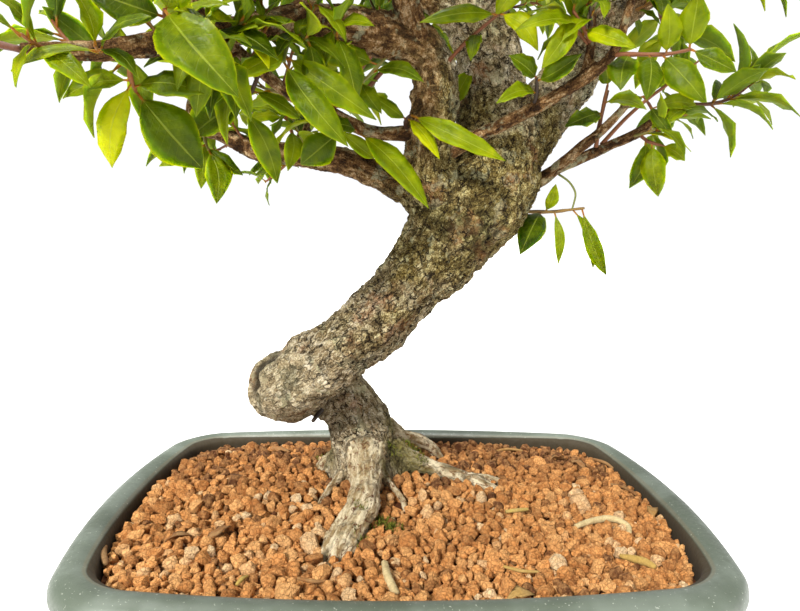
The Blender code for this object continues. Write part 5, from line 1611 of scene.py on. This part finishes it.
def wood_height(x, y):
    """The height of a root or flank over a spot of the soil, or 0 where none lies near the soil."""
    above = np.array((x, y, float(soil_height(x, y)) + 24.0)) * MM + SHIFT
    hit = WOOD_TREE.ray_cast(Vector(above.tolist()), Vector((0.0, 0.0, -1.0)), 0.03)[0]
    return hit.z / MM if hit else 0.0


def make_moss():
    """Low moss on the soil beside the roots: many short pointed leaves in loose cushions."""
    rng = random.Random(MOSS_SEED)
    skin = Skin()
    for x, y, spread, count in MOSS:
        for _ in range(count):
            angle, reach = rng.uniform(0, math.tau), spread * math.sqrt(rng.random())
            px, py = x + reach * math.cos(angle) * 1.4, y + reach * math.sin(angle)
            height = max(float(soil_height(px, py)), wood_height(px, py))
            root = np.array((px, py, height + rng.uniform(-0.6, 1.6)))
            tip = root + np.array((rng.gauss(0, 0.7), rng.gauss(0, 0.7), rng.uniform(1.0, 2.4)))
            around = rng.uniform(0, math.tau)
            turns = [around + math.tau * k / 3 for k in range(3)]
            ring = [root + np.array((math.cos(turn), math.sin(turn), 0.0)) * 0.28 for turn in turns]
            faces = [(0, 1, 3), (1, 2, 3), (2, 0, 3), (2, 1, 0)]
            skin.add(np.array(ring + [tip]), faces, tint=rng.random())
    finish_piece(skin.build("moss"), moss_material())


def make_bits():
    """The fallen twig and the root end in place of their nodes, and small litter on the soil."""
    dry = dry_material()
    for name, rows in SOIL_BITS.items():
        skin = Skin()
        skin.add(*sweep(smooth_curve(on_soil(rows), 0.7), 14, 0.09), tint=0.85)
        item = skin.build("pale_" + name)
        points = points_of(item.data)
        rough = np.array([noise.noise(Vector(point) * 0.9) for point in points])
        push_out(item.data, points, 0.22 * rough)
        finish_piece(item, dry, [name])
    litter = Skin()
    for tint, rows in LITTER:
        litter.add(*sweep(smooth_curve(on_soil(rows), 1.0), 8, 0.2), tint=tint)
    rng = random.Random(LITTER_SEED)
    for x, y, heading, length, tint in DRY_LEAVES:
        start = np.array((x, y, float(soil_height(x, y)) + 2.2))
        aim = np.array((math.cos(math.radians(heading)), math.sin(math.radians(heading)), 0.08))
        stem, bit = np.array([start - aim, start]), Skin()
        add_leaf(bit, stem, (1.0, start + aim * length, length * 0.42), PLAIN_ROWS, rng, tint)
        litter.add(np.vstack(bit.verts), bit.faces, tint=tint)
    finish_piece(litter.build("litter"), dry)


def make_twigs():
    """Thin bare twigs of the photograph that carry few or no leaves."""
    skin = Skin()
    for tint, rows in TWIGS:
        skin.add(*sweep(smooth_curve(rows, 1.5), 9, 0.08, tint * 5), tint=tint)
    finish_piece(skin.build("thin_twigs"), bpy.data.materials["young_stem"])


def dress_screens():
    """A moulded finish for the two drainage screens, which keep their own solids."""
    mat = screen_material()
    for side in ("left", "right"):
        node = frame["nodes"]["drain_screen_" + side]
        node.data.materials.clear()
        node.data.materials.append(mat)


def camera_axis(x, depth, y):
    """A direction of the camera turned into the frame's axes."""
    pitch, yaw = math.radians(CAMERA_PITCH), math.radians(CAMERA_YAW)
    depth, y = depth * math.cos(pitch) + y * math.sin(pitch), y * math.cos(pitch) - depth * math.sin(pitch)
    x, depth = x * math.cos(yaw) + depth * math.sin(yaw), depth * math.cos(yaw) - x * math.sin(yaw)
    return Vector((x, depth, y))


def place_camera():
    """The camera at the photograph's viewing angle."""
    roll = math.radians(CAMERA_ROLL)
    right = camera_axis(math.cos(roll), 0.0, math.sin(roll))
    up = camera_axis(-math.sin(roll), 0.0, math.cos(roll))
    ahead = camera_axis(0.0, 1.0, 0.0)
    data = bpy.data.cameras.new("camera")
    data.sensor_width = SENSOR_WIDTH
    data.lens = SENSOR_WIDTH * FOCAL_PIXELS / PHOTO_WIDTH
    data.clip_start = 0.01
    camera = bpy.data.objects.new("camera", data)
    bpy.context.scene.collection.objects.link(camera)
    place = np.array(CAMERA_PLACE) * MM + SHIFT
    camera.matrix_world = Matrix((
        (right.x, up.x, -ahead.x, place[0]), (right.y, up.y, -ahead.y, place[1]),
        (right.z, up.z, -ahead.z, place[2]), (0.0, 0.0, 0.0, 1.0),
    ))
    bpy.context.scene.camera = camera


def make_stage():
    """Plain pale floor, white surroundings and plain soft studio light."""
    bpy.ops.mesh.primitive_circle_add(vertices=96, radius=12.0, fill_type="NGON", location=(0, 0, -0.0002))
    floor = bpy.context.object
    floor.name = "floor"
    pale = Finish("pale_floor", Roughness=0.9, Specular_IOR_Level=0.1, Base_Color=FLOOR_COLOUR)
    floor.data.materials.append(pale.material)
    world = bpy.data.worlds.new("studio")
    world.use_nodes = True
    nodes = Nodes(world.node_tree)
    background = world.node_tree.nodes["Background"]
    nodes.put(background.inputs["Color"], SKY_COLOUR)
    seen = nodes.add("LightPath", output="Is Camera Ray")
    nodes.put(background.inputs["Strength"], seen * SEEN_STRENGTH + SKY_STRENGTH)
    bpy.context.scene.world = world
    bpy.context.scene.view_settings.view_transform = "Standard"
    for name, heading, strength, angle, colour in SUNS:
        data = bpy.data.lights.new(name, "SUN")
        data.energy = strength
        data.angle = math.radians(angle)
        data.color = colour
        light = bpy.data.objects.new(name, data)
        light.rotation_euler = Vector(heading).to_track_quat("-Z", "Y").to_euler()
        bpy.context.scene.collection.objects.link(light)


bpy.context.scene.unit_settings.system = "METRIC"
for leftover in list(bpy.data.objects):
    bpy.data.objects.remove(leftover, do_unlink=True)
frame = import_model()
cad_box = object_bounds()
CAD_LOW, CAD_HIGH = (np.array(corner) for corner in cad_box)
pot_low, pot_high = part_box("pot")
SHIFT = np.array(((pot_low.x + pot_high.x) / 2.0, (pot_low.y + pot_high.y) / 2.0, 0.0))
wood_mesh = frame["nodes"]["wood"].data
wood_mesh.calc_loop_triangles()
WOOD_TREE = BVHTree.FromPolygons(
    [vert.co.copy() for vert in wood_mesh.vertices], [tuple(t.vertices) for t in wood_mesh.loop_triangles]
)
bpy.ops.object.select_all(action="DESELECT")
noise.seed_set(BARK_SEED)

place_camera()
make_pot()
make_bed()
make_granules()
make_wood()
make_foliage()
make_twigs()
make_moss()
make_bits()
dress_screens()
make_stage()
